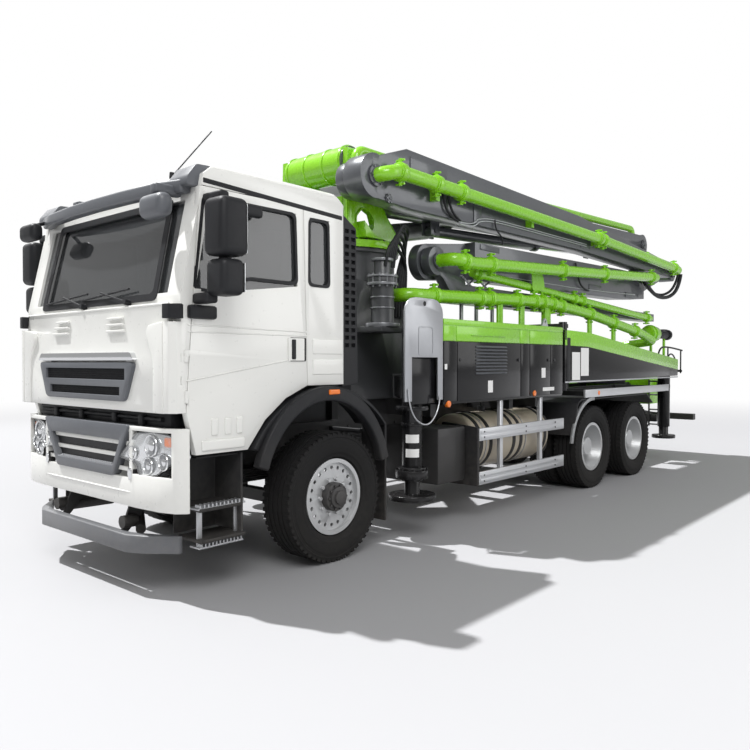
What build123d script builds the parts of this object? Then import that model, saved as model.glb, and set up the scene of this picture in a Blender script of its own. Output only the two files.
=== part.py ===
# Truck-mounted concrete pump: a cab-over three-axle truck that carries a slewing turret with a
# folding boom of five sections, a pump with its hopper, and four outriggers with jacks.
# Millimetres. +X is the truck's forward direction, +Y its left side, +Z up, the ground is Z = 0.
# Stations along the truck are measured from the front axle, and the function "at" gives their X.
from build123d import *
from math import cos, radians, sin
import os

os.makedirs("parts", exist_ok=True)

# Overall reach from the front axle: forward to the underrun bar, back to the rear bar
FRONT_REACH = 1545
REAR_REACH = 8850
AXLE_X = (REAR_REACH - FRONT_REACH) / 2


def at(station):
    """X of a station that is measured from the front axle, forward positive."""
    return AXLE_X + station


# Clearances
SEAT_GAP = 0.3
PIN_GAP = 0.06
SLIDE_GAP = 6
BEAM_GAP = 0.4

# Axles and wheels
WHEELBASE = 4600
BOGIE_SPREAD = 1350
BOGIE_SEAT_Z = 598
REAR_STATIONS = (-WHEELBASE, -WHEELBASE - BOGIE_SPREAD)
TYRE_R = 520
TYRE_W = 315
TYRE_SHOULDER = 18
RIM_R = 286
RIM_LIP_R = 305
RIM_WALL = 14
RIM_HALF_W = 125
LIP_T = 12
DISC_T = 16
FRONT_TYRE_Y = 1011
DUAL_INNER_Y = 741
DUAL_PITCH = 350
HUB_R = 95
HUB_NUT_RING_R = 142
HAND_HOLES = 20
HAND_HOLE_R = 15
REAR_HAND_HOLES = 10
REAR_HAND_HOLE_R = 26
SPINDLE_R = 40
KINGPIN_Y = 860
KINGPIN_R = 22
AXLE_BEAM_H = 100
KINGPIN_EYE_Z = (450, 590)
FORK_T = 35
REAR_AXLE_R = 85
DIFF_R = 190

# Ladder frame
RAIL_OUT_Y = 435
RAIL_FLANGE = 80
RAIL_Z = (750, 1050)
RAIL_WEB = 10
RAIL_ENDS = (-7800, 1330)
SUBFRAME_Z = 1230
SUBFRAME_ENDS = (-7800, -760)
CROSS_STATIONS = (1180, -860, -1700, -2900, -3900, -5275, -6900, -7700)
ENGINE_X = (-700, 450)
ENGINE_HALF_W = 330
ENGINE_Z = (640, 1270)

# Cab
CAB_HALF_W = 1140
CAB_WALL = 55
CAB_REAR = -100
CAB_ROOF_Z = 2950
CAB_FLOOR_Z = 1420
SEAT_HALF_W = 240
SEAT_DOOR_GAP = 285
DASH_GAP = 45
FRONT_FLOOR_Z = 1360
CAB_FRONT = 1425
SCREEN_LOW = (1425, 2035)
SCREEN_HIGH = (1268, 2730)
DOOR_SEAM = (300, 1385)
DOOR_TOP_Z = 2775
DOOR_LOW_Z = 980
DOOR_T = 55
DOOR_GAP = 6
HINGE_Z = (1330, 1600)
HINGE_H = 40
HINGE_R = 16
WINDOW = (400, 1330, 2110, 2715)
QUARTER_WINDOW = (60, 270, 2185, 2710)
GLASS_T = 8
MIRROR_Y = (CAB_HALF_W + 120, CAB_HALF_W + 340)
LID_Z = (1262, 1985)
LID_X = (1425, 1490)
LID_ROD_R = 9
LID_HALF_W = CAB_HALF_W - 90
GRILLE_Z = (1340, 1625)
GRILLE_HALF_W = 574
BUMPER_Z = (600, 1160)
BUMPER_FRONT = 1500
BUMPER_HALF_W = CAB_HALF_W + 10
BUMPER_T = 40
LOW_GRILLE_Z = (800, 1120)
LOW_GRILLE_HALF_W = 620
LAMP_Y = (660, 1060)
LAMP_Z = (830, 1130)
UNDERRUN_Z = (290, 415)
UNDERRUN_HALF_W = 965

# Turret and boom root
SLEW_X = -1300
TURRET_Z = 2740
TURRET_PLATE_Y = (400, 460)
ROOT_X = -1000
ROOT_Z = 3520
ROOT_TUBE_R = 165
ROOT_PIN_R = 70
BEARING_R = 520
PEDESTAL_TOP = 2560
PEDESTAL_X = (-1700, -900)
PEDESTAL_HALF_W = 470

# Boom: lanes across the truck (low y, high y) and pins as (station, z)
LANE_1 = (-300, 180)
LANE_2 = (205, 455)
NECK_2 = (480, 590)
LANE_3 = (612, 830)
NECK_4 = (480, 592)
LANE_4 = (480, 720)
LANE_5 = (500, 720)
NECK_5 = (612, 720)
PIN_12 = (-8250, 3600)
PIN_23 = (-850, 3300)
PIN_34 = (-8600, 3130)
PIN_45 = (-1950, 2650)
TIP_5 = (-8050, 2330)
BOOM_PIN_R = 45
PIPE_R = 68
PIPE_Y = 950

# Luffing cylinder
LUFF_FOOT = (-1380, 2900)
LUFF_EYE = (-2900, 3190)
BARREL_R = 105
ROD_R = 60
LUFF_GAP = 2

# Outriggers
ARM_ANGLE = 45
ARM_W = 200
ARM_H = 200
ARM_WALL = 16
FRONT_JACK = (-1030, 1115)
ARM_Z = {1: 1360, -1: 1615}
ARM_L = 2500
JACK_TUBE_R = 92
JACK_LEG_R = 70
JACK_TOP = 2080
JACK_LOW = 520
FOOT_R = 215
FOOT_Z = (350, 400)
WING_PIVOT = (-3950, 1130)
WING_PIN_R = 50
WING_Y = (1000, 1250)
WING_FRONT = -3765
WING_REAR = -7650
REAR_JACK = (-7420, 1115)
REAR_JACK_TOP = 1500

# Side pieces
BODY_SIDE_Y = 1250
SIDE_BOX_X = (-3715, -1330)
SIDE_BOX_Y = 1000
SIDE_BOX_Z = (1200, 2004)
TANK_X = (-3600, -2050)
TANK_R = 300
GUARD_X = (-3750, -1940)
GUARD_RAILS = ((370, 500), (810, 935))
GUARD_T = 30
WHEEL_RAIL_X = (-7257, -4330)
WHEEL_RAIL_Z = (1150, 1250)

# Pump and hopper
HOPPER_X = (-8700, -7800)
HOPPER_HALF_W = 750
HOPPER_Z = (900, 1640)
HOPPER_WALL = 10
PUMP_CYL_R = 110
PUMP_X = (-7600, -4300)
PUMP_CYL_Y = 150
PUMP_CYL_Z = 1420
WATER_BOX_X = (-7790, -7580)
WATER_BOX_HALF_W = 420
WATER_BOX_TOP = 1640
PUMP_FRAME_HALF_W = 330
PUMP_FRAME_TOP = 1600
WATER_TANK_X = (-3830, -3150)
WATER_TANK_HALF_W = 380
WATER_TANK_TOP = 2000
TANK_BEARER_H = 280
AGITATOR = (-8200, 1180)
AGITATOR_R = 45
GRATE_BARS = 9
GRATE_PITCH = 150
GEARBOX = (-1060, 730)
GEARBOX_STEPS = ((110, 1930, 2330), (135, 2330, 2400), (80, 2400, 2560))
GEARBOX_SHELF_Z = (1880, 1930)
LINE_Y = 850


def save(builder, name):
    """Labels a finished piece and writes it as one STEP file."""
    builder.part.label = name
    export_step(builder.part, f"parts/{name}.step")


def block(xs, ys, zs, mode=Mode.ADD):
    """A box between two stations, two y and two z, in any order."""
    middle = ((at(xs[0]) + at(xs[1])) / 2, (ys[0] + ys[1]) / 2, (zs[0] + zs[1]) / 2)
    with Locations(middle):
        Box(abs(xs[1] - xs[0]), abs(ys[1] - ys[0]), abs(zs[1] - zs[0]), mode=mode)


def plate(outline, ys, mode=Mode.ADD):
    """A flat piece with a side-view outline of (station, z) points, from one y to another."""
    low, high = sorted(ys)
    with BuildSketch(Plane.XZ.offset(-low)) as face:
        with BuildLine():
            Polyline([(at(x), z) for x, z in outline], close=True)
        make_face()
    extrude(face.sketch, amount=-(high - low), mode=mode)


def slab(outline, zs, mode=Mode.ADD):
    """A flat piece with a plan outline of (station, y) points, from one z to another."""
    low, high = sorted(zs)
    with BuildSketch(Plane.XY.offset(low)) as face:
        with BuildLine():
            Polyline([(at(x), y) for x, y in outline], close=True)
        make_face()
    extrude(face.sketch, amount=high - low, mode=mode)


def cross_rod(centre, radius, ys, mode=Mode.ADD):
    """A cylinder along Y at a (station, z) centre."""
    low, high = sorted(ys)
    with BuildSketch(Plane.XZ.offset(-low)) as face:
        with Locations((at(centre[0]), centre[1])):
            Circle(radius)
    extrude(face.sketch, amount=-(high - low), mode=mode)


def post(centre, radius, zs, mode=Mode.ADD):
    """A cylinder along Z at a (station, y) centre."""
    low, high = sorted(zs)
    with BuildSketch(Plane.XY.offset(low)) as face:
        with Locations((at(centre[0]), centre[1])):
            Circle(radius)
    extrude(face.sketch, amount=high - low, mode=mode)


def bar(start, end, radius, mode=Mode.ADD):
    """A cylinder between two (station, y, z) points."""
    foot = Vector(at(start[0]), start[1], start[2])
    head = Vector(at(end[0]), end[1], end[2])
    with BuildSketch(Plane(origin=foot, z_dir=head - foot)) as face:
        Circle(radius)
    extrude(face.sketch, amount=(head - foot).length, mode=mode)


def pipe(points, bend, radius):
    """A pipe through (station, y, z) points with round bends."""
    with BuildLine() as route:
        FilletPolyline([(at(x), y, z) for x, y, z in points], radius=bend)
    with BuildSketch(Plane(origin=route.line @ 0, z_dir=route.line % 0)) as face:
        Circle(radius)
    sweep(face.sketch, path=route.line)


def mirrored(side, ys):
    """The two y of a left-hand piece, on the left for side 1 and on the right for side -1."""
    return sorted((side * ys[0], side * ys[1]))


def along(start, end, share):
    """The (station, z) point at a share of the way between two points."""
    return (start[0] + (end[0] - start[0]) * share, start[1] + (end[1] - start[1]) * share)


SIDES = ((1, "left"), (-1, "right"))

# Ladder frame: two channel rails, cross members, the pump's subframe and the rear underrun bar
with BuildPart() as chassis_frame:
    for side, hand in SIDES:
        block(RAIL_ENDS, mirrored(side, (RAIL_OUT_Y - RAIL_FLANGE, RAIL_OUT_Y)), RAIL_Z)
        block(
            RAIL_ENDS,
            mirrored(side, (RAIL_OUT_Y - RAIL_FLANGE, RAIL_OUT_Y - RAIL_WEB)),
            (RAIL_Z[0] + RAIL_WEB, RAIL_Z[1] - RAIL_WEB),
            Mode.SUBTRACT,
        )
        block(
            SUBFRAME_ENDS,
            mirrored(side, (RAIL_OUT_Y - RAIL_FLANGE, RAIL_OUT_Y)),
            (RAIL_Z[1], SUBFRAME_Z),
        )
    for station in CROSS_STATIONS:
        block(
            (station - 60, station + 60),
            (-RAIL_OUT_Y + RAIL_WEB / 2, RAIL_OUT_Y - RAIL_WEB / 2),
            (RAIL_Z[0] + 50, RAIL_Z[1] - 50),
        )
    # Rear underrun bar on two drop arms
    block((-REAR_REACH, -REAR_REACH + 120), (-1150, 1150), (600, 700))
    for side, hand in SIDES:
        plate(
            [
                (RAIL_ENDS[0] + 250, 760),
                (RAIL_ENDS[0] + 250, 860),
                (-REAR_REACH + 60, 700),
                (-REAR_REACH + 60, 620),
            ],
            mirrored(side, (RAIL_OUT_Y, RAIL_OUT_Y + 40)),
        )
        # Front underrun brackets
        plate(
            [(1330, 755), (1330, 900), (1060, 900), (1060, 755), (1420, 380), (1470, 380)],
            mirrored(side, (RAIL_OUT_Y, RAIL_OUT_Y + 20)),
        )
        # Spring hangers of the front axle
        for station in (-720, 720):
            block(
                (station - 50, station + 50),
                mirrored(side, (RAIL_OUT_Y - 75, RAIL_OUT_Y - 5)),
                (655, RAIL_Z[0]),
            )
        # Brackets that carry the tanks, boxes and guard rails
        for station in (-2150, -2800, -3500):
            block(
                (station - 40, station + 40),
                mirrored(side, (RAIL_OUT_Y, 520)),
                (RAIL_Z[0] + 20, RAIL_Z[1] - 20),
            )
        for station in (-1500, -2960, -3550):
            block(
                (station - 40, station + 40),
                mirrored(side, (RAIL_OUT_Y, SIDE_BOX_Y)),
                (RAIL_Z[1] + 20, SUBFRAME_Z),
            )
        for station in (-4400, -5275, -7150):
            block(
                (station - 30, station + 30),
                mirrored(side, (RAIL_OUT_Y, BODY_SIDE_Y - GUARD_T)),
                (WHEEL_RAIL_Z[0] + 20, WHEEL_RAIL_Z[1] - 20),
            )
        # Trunnion brackets of the rear bogie
        middle = -WHEELBASE - BOGIE_SPREAD / 2
        block(
            (middle - 130, middle + 130),
            mirrored(side, (RAIL_OUT_Y - 60, RAIL_OUT_Y + 60)),
            (BOGIE_SEAT_Z + SEAT_GAP, RAIL_Z[0]),
        )
        # Pivot bracket of the rear outrigger: an upper and a lower lug on a post
        for low, high in ((1270, 1320), (2010, 2060)):
            block(
                (WING_PIVOT[0] - 100, WING_PIVOT[0] + 60),
                mirrored(side, (RAIL_OUT_Y - 40, WING_PIVOT[1] + 20)),
                (low, high),
            )
        post(
            (WING_PIVOT[0], side * WING_PIVOT[1]),
            WING_PIN_R + PIN_GAP,
            (1200, 2100),
            Mode.SUBTRACT,
        )
        block(
            (WING_PIVOT[0] - 100, WING_PIVOT[0] + 60),
            mirrored(side, (RAIL_OUT_Y - 40, RAIL_OUT_Y + 60)),
            (SUBFRAME_Z, 2060),
        )
save(chassis_frame, "chassis_frame")

# Engine and gearbox: one plain block on mounts that reach the rails' webs
with BuildPart() as engine_block:
    block(ENGINE_X, (-ENGINE_HALF_W, ENGINE_HALF_W), ENGINE_Z)
    for station in (-500, 250):
        block(
            (station - 40, station + 40),
            (-RAIL_OUT_Y + RAIL_WEB, RAIL_OUT_Y - RAIL_WEB),
            (850, 950),
        )
save(engine_block, "engine_block")

# Front axle: a dropped beam with kingpin eyes and two leaf springs
with BuildPart() as front_axle:
    block((-50, 50), (-560, 560), (380, 380 + AXLE_BEAM_H))
    for side, hand in SIDES:
        block((-50, 50), mirrored(side, (500, KINGPIN_Y - 30)), KINGPIN_EYE_Z)
        post((0, side * KINGPIN_Y), KINGPIN_R + 24, KINGPIN_EYE_Z)
        block((-820, 820), mirrored(side, (RAIL_OUT_Y - 75, RAIL_OUT_Y - 5)), (600, 655))
        block((-70, 70), mirrored(side, (RAIL_OUT_Y - 75, RAIL_OUT_Y - 5)), (470, 600))
    for side, hand in SIDES:
        post(
            (0, side * KINGPIN_Y),
            KINGPIN_R + PIN_GAP,
            (KINGPIN_EYE_Z[0] - 10, KINGPIN_EYE_Z[1] + 10),
            Mode.SUBTRACT,
        )
save(front_axle, "front_axle")

# Steering knuckles: a fork, its kingpin and the wheel's spindle
for side, hand in SIDES:
    with BuildPart() as knuckle:
        bottom = KINGPIN_EYE_Z[0] - 5 - FORK_T
        top = KINGPIN_EYE_Z[1] + 5 + FORK_T
        for low in (bottom, top - FORK_T):
            block((-55, 55), mirrored(side, (KINGPIN_Y - 45, KINGPIN_Y + 100)), (low, low + FORK_T))
        block((-55, 55), mirrored(side, (KINGPIN_Y + 60, KINGPIN_Y + 100)), (bottom, top))
        post((0, side * KINGPIN_Y), KINGPIN_R, (bottom, top))
        cross_rod((0, TYRE_R), SPINDLE_R, mirrored(side, (KINGPIN_Y + 60, 1125)))
    save(knuckle, f"knuckle_{hand}")


def tyre_ring(station, y):
    """One tyre of round-shouldered section, centred at a y."""
    half = TYRE_W / 2
    bead = RIM_HALF_W - LIP_T - SEAT_GAP
    with BuildSketch(Plane.XY.offset(TYRE_R)) as section:
        with BuildLine():
            Polyline(
                [
                    (at(station) + RIM_R + SEAT_GAP, y - bead),
                    (at(station) + RIM_LIP_R + SEAT_GAP, y - bead),
                    (at(station) + RIM_LIP_R + 40, y - half),
                    (at(station) + TYRE_R - 90, y - half),
                    (at(station) + TYRE_R - 12, y - half + TYRE_SHOULDER),
                    (at(station) + TYRE_R, y - half + 2 * TYRE_SHOULDER),
                    (at(station) + TYRE_R, y + half - 2 * TYRE_SHOULDER),
                    (at(station) + TYRE_R - 12, y + half - TYRE_SHOULDER),
                    (at(station) + TYRE_R - 90, y + half),
                    (at(station) + RIM_LIP_R + 40, y + half),
                    (at(station) + RIM_LIP_R + SEAT_GAP, y + bead),
                    (at(station) + RIM_R + SEAT_GAP, y + bead),
                ],
                close=True,
            )
        make_face()
    revolve(section.sketch, axis=Axis((at(station), 0, TYRE_R), (0, 1, 0)))


def rim_ring(station, y_low, y_high, disc_y):
    """A rim barrel with a lip at each end and a flat disc with a hub hole."""
    centre = (station, TYRE_R)
    for lip in (y_low, y_high - LIP_T):
        cross_rod(centre, RIM_LIP_R, (lip, lip + LIP_T))
    cross_rod(centre, RIM_R, (y_low, y_high))
    cross_rod(centre, RIM_R - RIM_WALL, (y_low - 1, y_high + 1), Mode.SUBTRACT)
    cross_rod(centre, RIM_R - RIM_WALL / 2, (disc_y - DISC_T / 2, disc_y + DISC_T / 2))


def disc_holes(station, disc_y, count, radius, ring_r):
    """A ring of round holes through a wheel's disc."""
    with BuildSketch(Plane.XZ.offset(-(disc_y - DISC_T))) as holes:
        with Locations((at(station), TYRE_R)):
            with PolarLocations(ring_r, count):
                Circle(radius)
    extrude(holes.sketch, amount=-2 * DISC_T, mode=Mode.SUBTRACT)


# Front wheels: rim, hub and wheel nuts, and the tyre round them
for side, hand in SIDES:
    outer = FRONT_TYRE_Y + RIM_HALF_W
    disc_y = outer - 40
    with BuildPart() as front_rim:
        rim_ring(0, *mirrored(side, (FRONT_TYRE_Y - RIM_HALF_W, outer)), side * disc_y)
        disc_holes(0, side * disc_y, HAND_HOLES, HAND_HOLE_R, RIM_R - 55)
        cross_rod((0, TYRE_R), HUB_R, mirrored(side, (KINGPIN_Y + 110, outer + 12)))
        with BuildSketch(Plane.XZ.offset(-side * disc_y)):
            with Locations((at(0), TYRE_R)):
                with PolarLocations(HUB_NUT_RING_R, 10):
                    RegularPolygon(17, 6)
        extrude(amount=-side * 34)
        cross_rod(
            (0, TYRE_R), SPINDLE_R + PIN_GAP, mirrored(side, (KINGPIN_Y + 90, 1126)), Mode.SUBTRACT
        )
    save(front_rim, f"front_rim_{hand}")
    with BuildPart() as front_tyre:
        tyre_ring(0, side * FRONT_TYRE_Y)
    save(front_tyre, f"front_tyre_{hand}")

# Driven rear axles: housings, differentials, wheel spindles and the bogie's spring packs
with BuildPart() as rear_axles:
    for station in REAR_STATIONS:
        cross_rod((station, TYRE_R), REAR_AXLE_R, (-DUAL_INNER_Y + 180, DUAL_INNER_Y - 180))
        cross_rod((station, TYRE_R), SPINDLE_R, (-1150, 1150))
        with Locations((at(station), 0, TYRE_R)):
            Sphere(DIFF_R)
    for side, hand in SIDES:
        plate(
            [
                (REAR_STATIONS[0] + 90, TYRE_R + 30),
                (REAR_STATIONS[0] - BOGIE_SPREAD / 2 + 100, BOGIE_SEAT_Z),
                (REAR_STATIONS[0] - BOGIE_SPREAD / 2 - 100, BOGIE_SEAT_Z),
                (REAR_STATIONS[1] - 90, TYRE_R + 30),
                (REAR_STATIONS[1] - 90, TYRE_R - 30),
                (REAR_STATIONS[0] + 90, TYRE_R - 30),
            ],
            mirrored(side, (RAIL_OUT_Y - 45, RAIL_OUT_Y + 45)),
        )
save(rear_axles, "rear_axles")

# Twin rear wheels: two deep rims back to back on one hub, and their two tyres
REAR_WHEELS = [
    (station, side, f"{place}_{{}}_{hand}")
    for station, place in zip(REAR_STATIONS, ("mid", "rear"))
    for side, hand in SIDES
]
for station, side, name in REAR_WHEELS:
    disc_y = DUAL_INNER_Y + DUAL_PITCH / 2
    outer_y = DUAL_INNER_Y + DUAL_PITCH
    with BuildPart() as twin_rims:
        rim_ring(station, *mirrored(side, (DUAL_INNER_Y - RIM_HALF_W, disc_y)), side * (disc_y - DISC_T / 2))
        rim_ring(station, *mirrored(side, (disc_y, outer_y + RIM_HALF_W)), side * (disc_y + DISC_T / 2))
        disc_holes(station, side * disc_y, REAR_HAND_HOLES, REAR_HAND_HOLE_R, RIM_R - 62)
        cross_rod((station, TYRE_R), HUB_R + 15, mirrored(side, (disc_y - 110, disc_y + 240)))
        cross_rod(
            (station, TYRE_R), SPINDLE_R + PIN_GAP, mirrored(side, (disc_y - 120, 1151)), Mode.SUBTRACT
        )
    save(twin_rims, name.format("rims"))
    with BuildPart() as twin_tyres:
        tyre_ring(station, side * DUAL_INNER_Y)
        tyre_ring(station, side * outer_y)
    save(twin_tyres, name.format("tyres"))

# Cab shell: a hollow box with a raked windscreen, cut for its windows, doors and wheel arches
CAB_OUTLINE = [
    (CAB_REAR, CAB_FLOOR_Z),
    (CAB_REAR, CAB_ROOF_Z - 90),
    (CAB_REAR + 110, CAB_ROOF_Z),
    (1130, CAB_ROOF_Z),
    (1245, CAB_ROOF_Z - 90),
    SCREEN_HIGH,
    SCREEN_LOW,
    (CAB_FRONT - 5, FRONT_FLOOR_Z),
    (820, FRONT_FLOOR_Z),
    (700, CAB_FLOOR_Z),
]
CAB_INNER = [
    (CAB_REAR + CAB_WALL, CAB_FLOOR_Z + CAB_WALL),
    (CAB_REAR + CAB_WALL, CAB_ROOF_Z - 110),
    (CAB_REAR + 140, CAB_ROOF_Z - CAB_WALL),
    (1100, CAB_ROOF_Z - CAB_WALL),
    (1190, CAB_ROOF_Z - 120),
    (SCREEN_HIGH[0] - CAB_WALL, SCREEN_HIGH[1]),
    (SCREEN_LOW[0] - CAB_WALL, SCREEN_LOW[1]),
    (CAB_FRONT - CAB_WALL, FRONT_FLOOR_Z + CAB_WALL),
    (830, FRONT_FLOOR_Z + CAB_WALL),
    (710, CAB_FLOOR_Z + CAB_WALL),
]
DOOR_OUTLINE = [
    (DOOR_SEAM[0] + 40, DOOR_TOP_Z),
    (DOOR_SEAM[0], CAB_FLOOR_Z),
    (520, 1330),
    (720, 1180),
    (880, DOOR_LOW_Z),
    (DOOR_SEAM[1] - 75, DOOR_LOW_Z),
    (DOOR_SEAM[1], 1275),
    (DOOR_SEAM[1] - 115, DOOR_TOP_Z),
]
WINDOW_OUTLINE = [
    (WINDOW[0], WINDOW[2] + 60),
    (WINDOW[0] + 15, WINDOW[3]),
    (WINDOW[1] - 140, WINDOW[3]),
    (WINDOW[1] - 20, WINDOW[2] - 20),
    (WINDOW[1] - 300, WINDOW[2] - 20),
]
QUARTER_OUTLINE = [
    (QUARTER_WINDOW[0], QUARTER_WINDOW[2]),
    (QUARTER_WINDOW[0], QUARTER_WINDOW[3]),
    (QUARTER_WINDOW[1], QUARTER_WINDOW[3]),
    (QUARTER_WINDOW[1], QUARTER_WINDOW[2]),
]


def grown(outline, gap):
    """An outline moved outwards from its middle by about a gap, for the seam round a panel."""
    middle_x = sum(x for x, z in outline) / len(outline)
    middle_z = sum(z for x, z in outline) / len(outline)
    return [(x + gap * (1 if x > middle_x else -1), z + gap * (1 if z > middle_z else -1)) for x, z in outline]


SCREEN_HALF_W = 980


def screen_cut(half_w, margin, depth, mode):
    """The windscreen's opening or pane, as a plate that follows the screen's rake."""
    low = along(SCREEN_LOW, SCREEN_HIGH, margin)
    high = along(SCREEN_LOW, SCREEN_HIGH, 1 - margin)
    plate(
        [
            (low[0] + depth[1], low[1]),
            (high[0] + depth[1], high[1]),
            (high[0] + depth[0], high[1]),
            (low[0] + depth[0], low[1]),
        ],
        (-half_w, half_w),
        mode,
    )


with BuildPart() as cab_shell:
    plate(CAB_OUTLINE, (-CAB_HALF_W, CAB_HALF_W))
    long_roof = cab_shell.edges().filter_by(GeomType.LINE).filter_by(Axis.X).group_by(Axis.Z)[-1]
    fillet(long_roof, 60)
    plate(CAB_INNER, (-CAB_HALF_W + CAB_WALL, CAB_HALF_W - CAB_WALL), Mode.SUBTRACT)
    for side, hand in SIDES:
        plate(
            grown(DOOR_OUTLINE, DOOR_GAP),
            mirrored(side, (CAB_HALF_W - CAB_WALL - 5, CAB_HALF_W + 5)),
            Mode.SUBTRACT,
        )
        plate(QUARTER_OUTLINE, mirrored(side, (CAB_HALF_W - 100, CAB_HALF_W + 5)), Mode.SUBTRACT)
    screen_cut(SCREEN_HALF_W, 0.04, (-100, 60), Mode.SUBTRACT)
    # Engine tunnel and the mounts that carry the cab on the frame
    for side, hand in SIDES:
        for station in (0, 1150):
            floor = CAB_FLOOR_Z if station < 500 else FRONT_FLOOR_Z
            block(
                (station - 60, station + 60),
                mirrored(side, (RAIL_OUT_Y - 75, RAIL_OUT_Y)),
                (RAIL_Z[1], floor + CAB_WALL / 2),
            )
    # Lower half of each door hinge, and the room for the door's half above it
    for side, hand in SIDES:
        pin = (DOOR_SEAM[1], side * CAB_HALF_W)
        for low in HINGE_Z:
            block(
                (pin[0] - 60, pin[0] + HINGE_R + 2),
                mirrored(side, (CAB_HALF_W - HINGE_R - 2, CAB_HALF_W + 30)),
                (low + HINGE_H, low + 2 * HINGE_H + 1),
                Mode.SUBTRACT,
            )
            post(pin, HINGE_R, (low, low + HINGE_H))
            block(
                (pin[0], pin[0] + 20),
                mirrored(side, (CAB_HALF_W - HINGE_R, CAB_HALF_W)),
                (low, low + HINGE_H),
            )
save(cab_shell, "cab_shell")

# Windscreen and the two quarter windows, set in their openings
with BuildPart() as cab_glass:
    screen_cut(SCREEN_HALF_W, 0.04, (-30, -30 + GLASS_T), Mode.ADD)
    for side, hand in SIDES:
        plate(QUARTER_OUTLINE, mirrored(side, (CAB_HALF_W - 20 - GLASS_T, CAB_HALF_W - 20)))
save(cab_glass, "cab_glass")

# Seats, dashboard and steering wheel
with BuildPart() as cab_interior:
    floor = CAB_FLOOR_Z + CAB_WALL
    seat_y = CAB_HALF_W - CAB_WALL - SEAT_DOOR_GAP - SEAT_HALF_W
    for y in (-seat_y, seat_y):
        block((260, 760), (y - SEAT_HALF_W, y + SEAT_HALF_W), (floor, floor + 430))
        back = [(180, floor + 380), (320, floor + 380), (240, floor + 1080), (130, floor + 1080)]
        plate(back, (y - SEAT_HALF_W + 10, y + SEAT_HALF_W - 10))
    plate(
        [
            (1010, floor + 250),
            (980, floor + 520),
            (1280, floor + 560),
            (1345, floor + 200),
            (1345, FRONT_FLOOR_Z + CAB_WALL),
            (1200, FRONT_FLOOR_Z + CAB_WALL),
        ],
        (-CAB_HALF_W + CAB_WALL + DASH_GAP, CAB_HALF_W - CAB_WALL - DASH_GAP),
    )
    bar((1100, seat_y, floor + 400), (900, seat_y, floor + 620), 25)
    with BuildSketch(Plane(origin=(at(900), seat_y, floor + 620), z_dir=(-200, 0, 220))):
        Circle(225)
        Circle(190, mode=Mode.SUBTRACT)
        Rectangle(400, 40)
    extrude(amount=25)
save(cab_interior, "cab_interior")

# Doors: a panel as thick as the door with its window cut and its mirrors, and the pane
for side, hand in SIDES:
    skin = mirrored(side, (CAB_HALF_W - DOOR_T, CAB_HALF_W))
    with BuildPart() as door:
        plate(DOOR_OUTLINE, skin)
        plate(WINDOW_OUTLINE, mirrored(side, (CAB_HALF_W - DOOR_T - 5, CAB_HALF_W + 5)), Mode.SUBTRACT)
        block((340, 500), mirrored(side, (CAB_HALF_W - 5, CAB_HALF_W + 22)), (1610, 1780))
        # Upper half of each hinge
        pin = (DOOR_SEAM[1], side * CAB_HALF_W)
        for low in HINGE_Z:
            post(pin, HINGE_R + 2, (low - 1, low + HINGE_H + SEAT_GAP), Mode.SUBTRACT)
            post(pin, HINGE_R, (low + HINGE_H + SEAT_GAP, low + 2 * HINGE_H))
            block(
                (pin[0] - 60, pin[0]),
                mirrored(side, (CAB_HALF_W - HINGE_R, CAB_HALF_W)),
                (low + HINGE_H + SEAT_GAP, low + 2 * HINGE_H),
            )
        # Mirror heads on two arms
        block((1110, 1350), mirrored(side, MIRROR_Y), (2290, 2650))
        block((1130, 1330), mirrored(side, (MIRROR_Y[0], MIRROR_Y[1] - 20)), (2040, 2260))
        block((1190, 1240), mirrored(side, (MIRROR_Y[0] + 60, MIRROR_Y[0] + 120)), (2230, 2300))
        block((1275, 1325), mirrored(side, (CAB_HALF_W - 5, MIRROR_Y[0] + 10)), (2050, 2085))
        block((1200, 1240), mirrored(side, (CAB_HALF_W - 5, MIRROR_Y[0] + 10)), (2720, 2745))
        block((1200, 1240), mirrored(side, (MIRROR_Y[0], MIRROR_Y[0] + 40)), (2640, 2745))
    save(door, f"door_{hand}")
    with BuildPart() as door_glass:
        plate(WINDOW_OUTLINE, mirrored(side, (CAB_HALF_W - 20 - GLASS_T, CAB_HALF_W - 20)))
    save(door_glass, f"door_glass_{hand}")
# Front lid with its grille, hinged at its upper edge
with BuildPart() as front_lid:
    plate(
        [
            (LID_X[0], LID_Z[0]),
            (LID_X[1] + 10, LID_Z[0]),
            (LID_X[1], 1640),
            (LID_X[1] - 35, LID_Z[1]),
            (LID_X[0], LID_Z[1]),
        ],
        (-LID_HALF_W, LID_HALF_W),
    )
    slot_h = (GRILLE_Z[1] - GRILLE_Z[0]) / 2 - 25
    for low in (GRILLE_Z[0] + 10, GRILLE_Z[0] + slot_h + 35):
        slot_y = (-GRILLE_HALF_W, GRILLE_HALF_W)
        block((LID_X[0] + 25, LID_X[1] + 30), slot_y, (low, low + slot_h), Mode.SUBTRACT)
    for bar_number in range(6):
        low = GRILLE_Z[0] + 22 + bar_number * 44
        block((LID_X[0] + 20, LID_X[1] - 8), (-GRILLE_HALF_W - 5, GRILLE_HALF_W + 5), (low, low + 12))
    cross_rod((LID_X[1] - 35, LID_Z[1]), LID_ROD_R, (-LID_HALF_W, LID_HALF_W))
save(front_lid, "front_lid")

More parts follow.
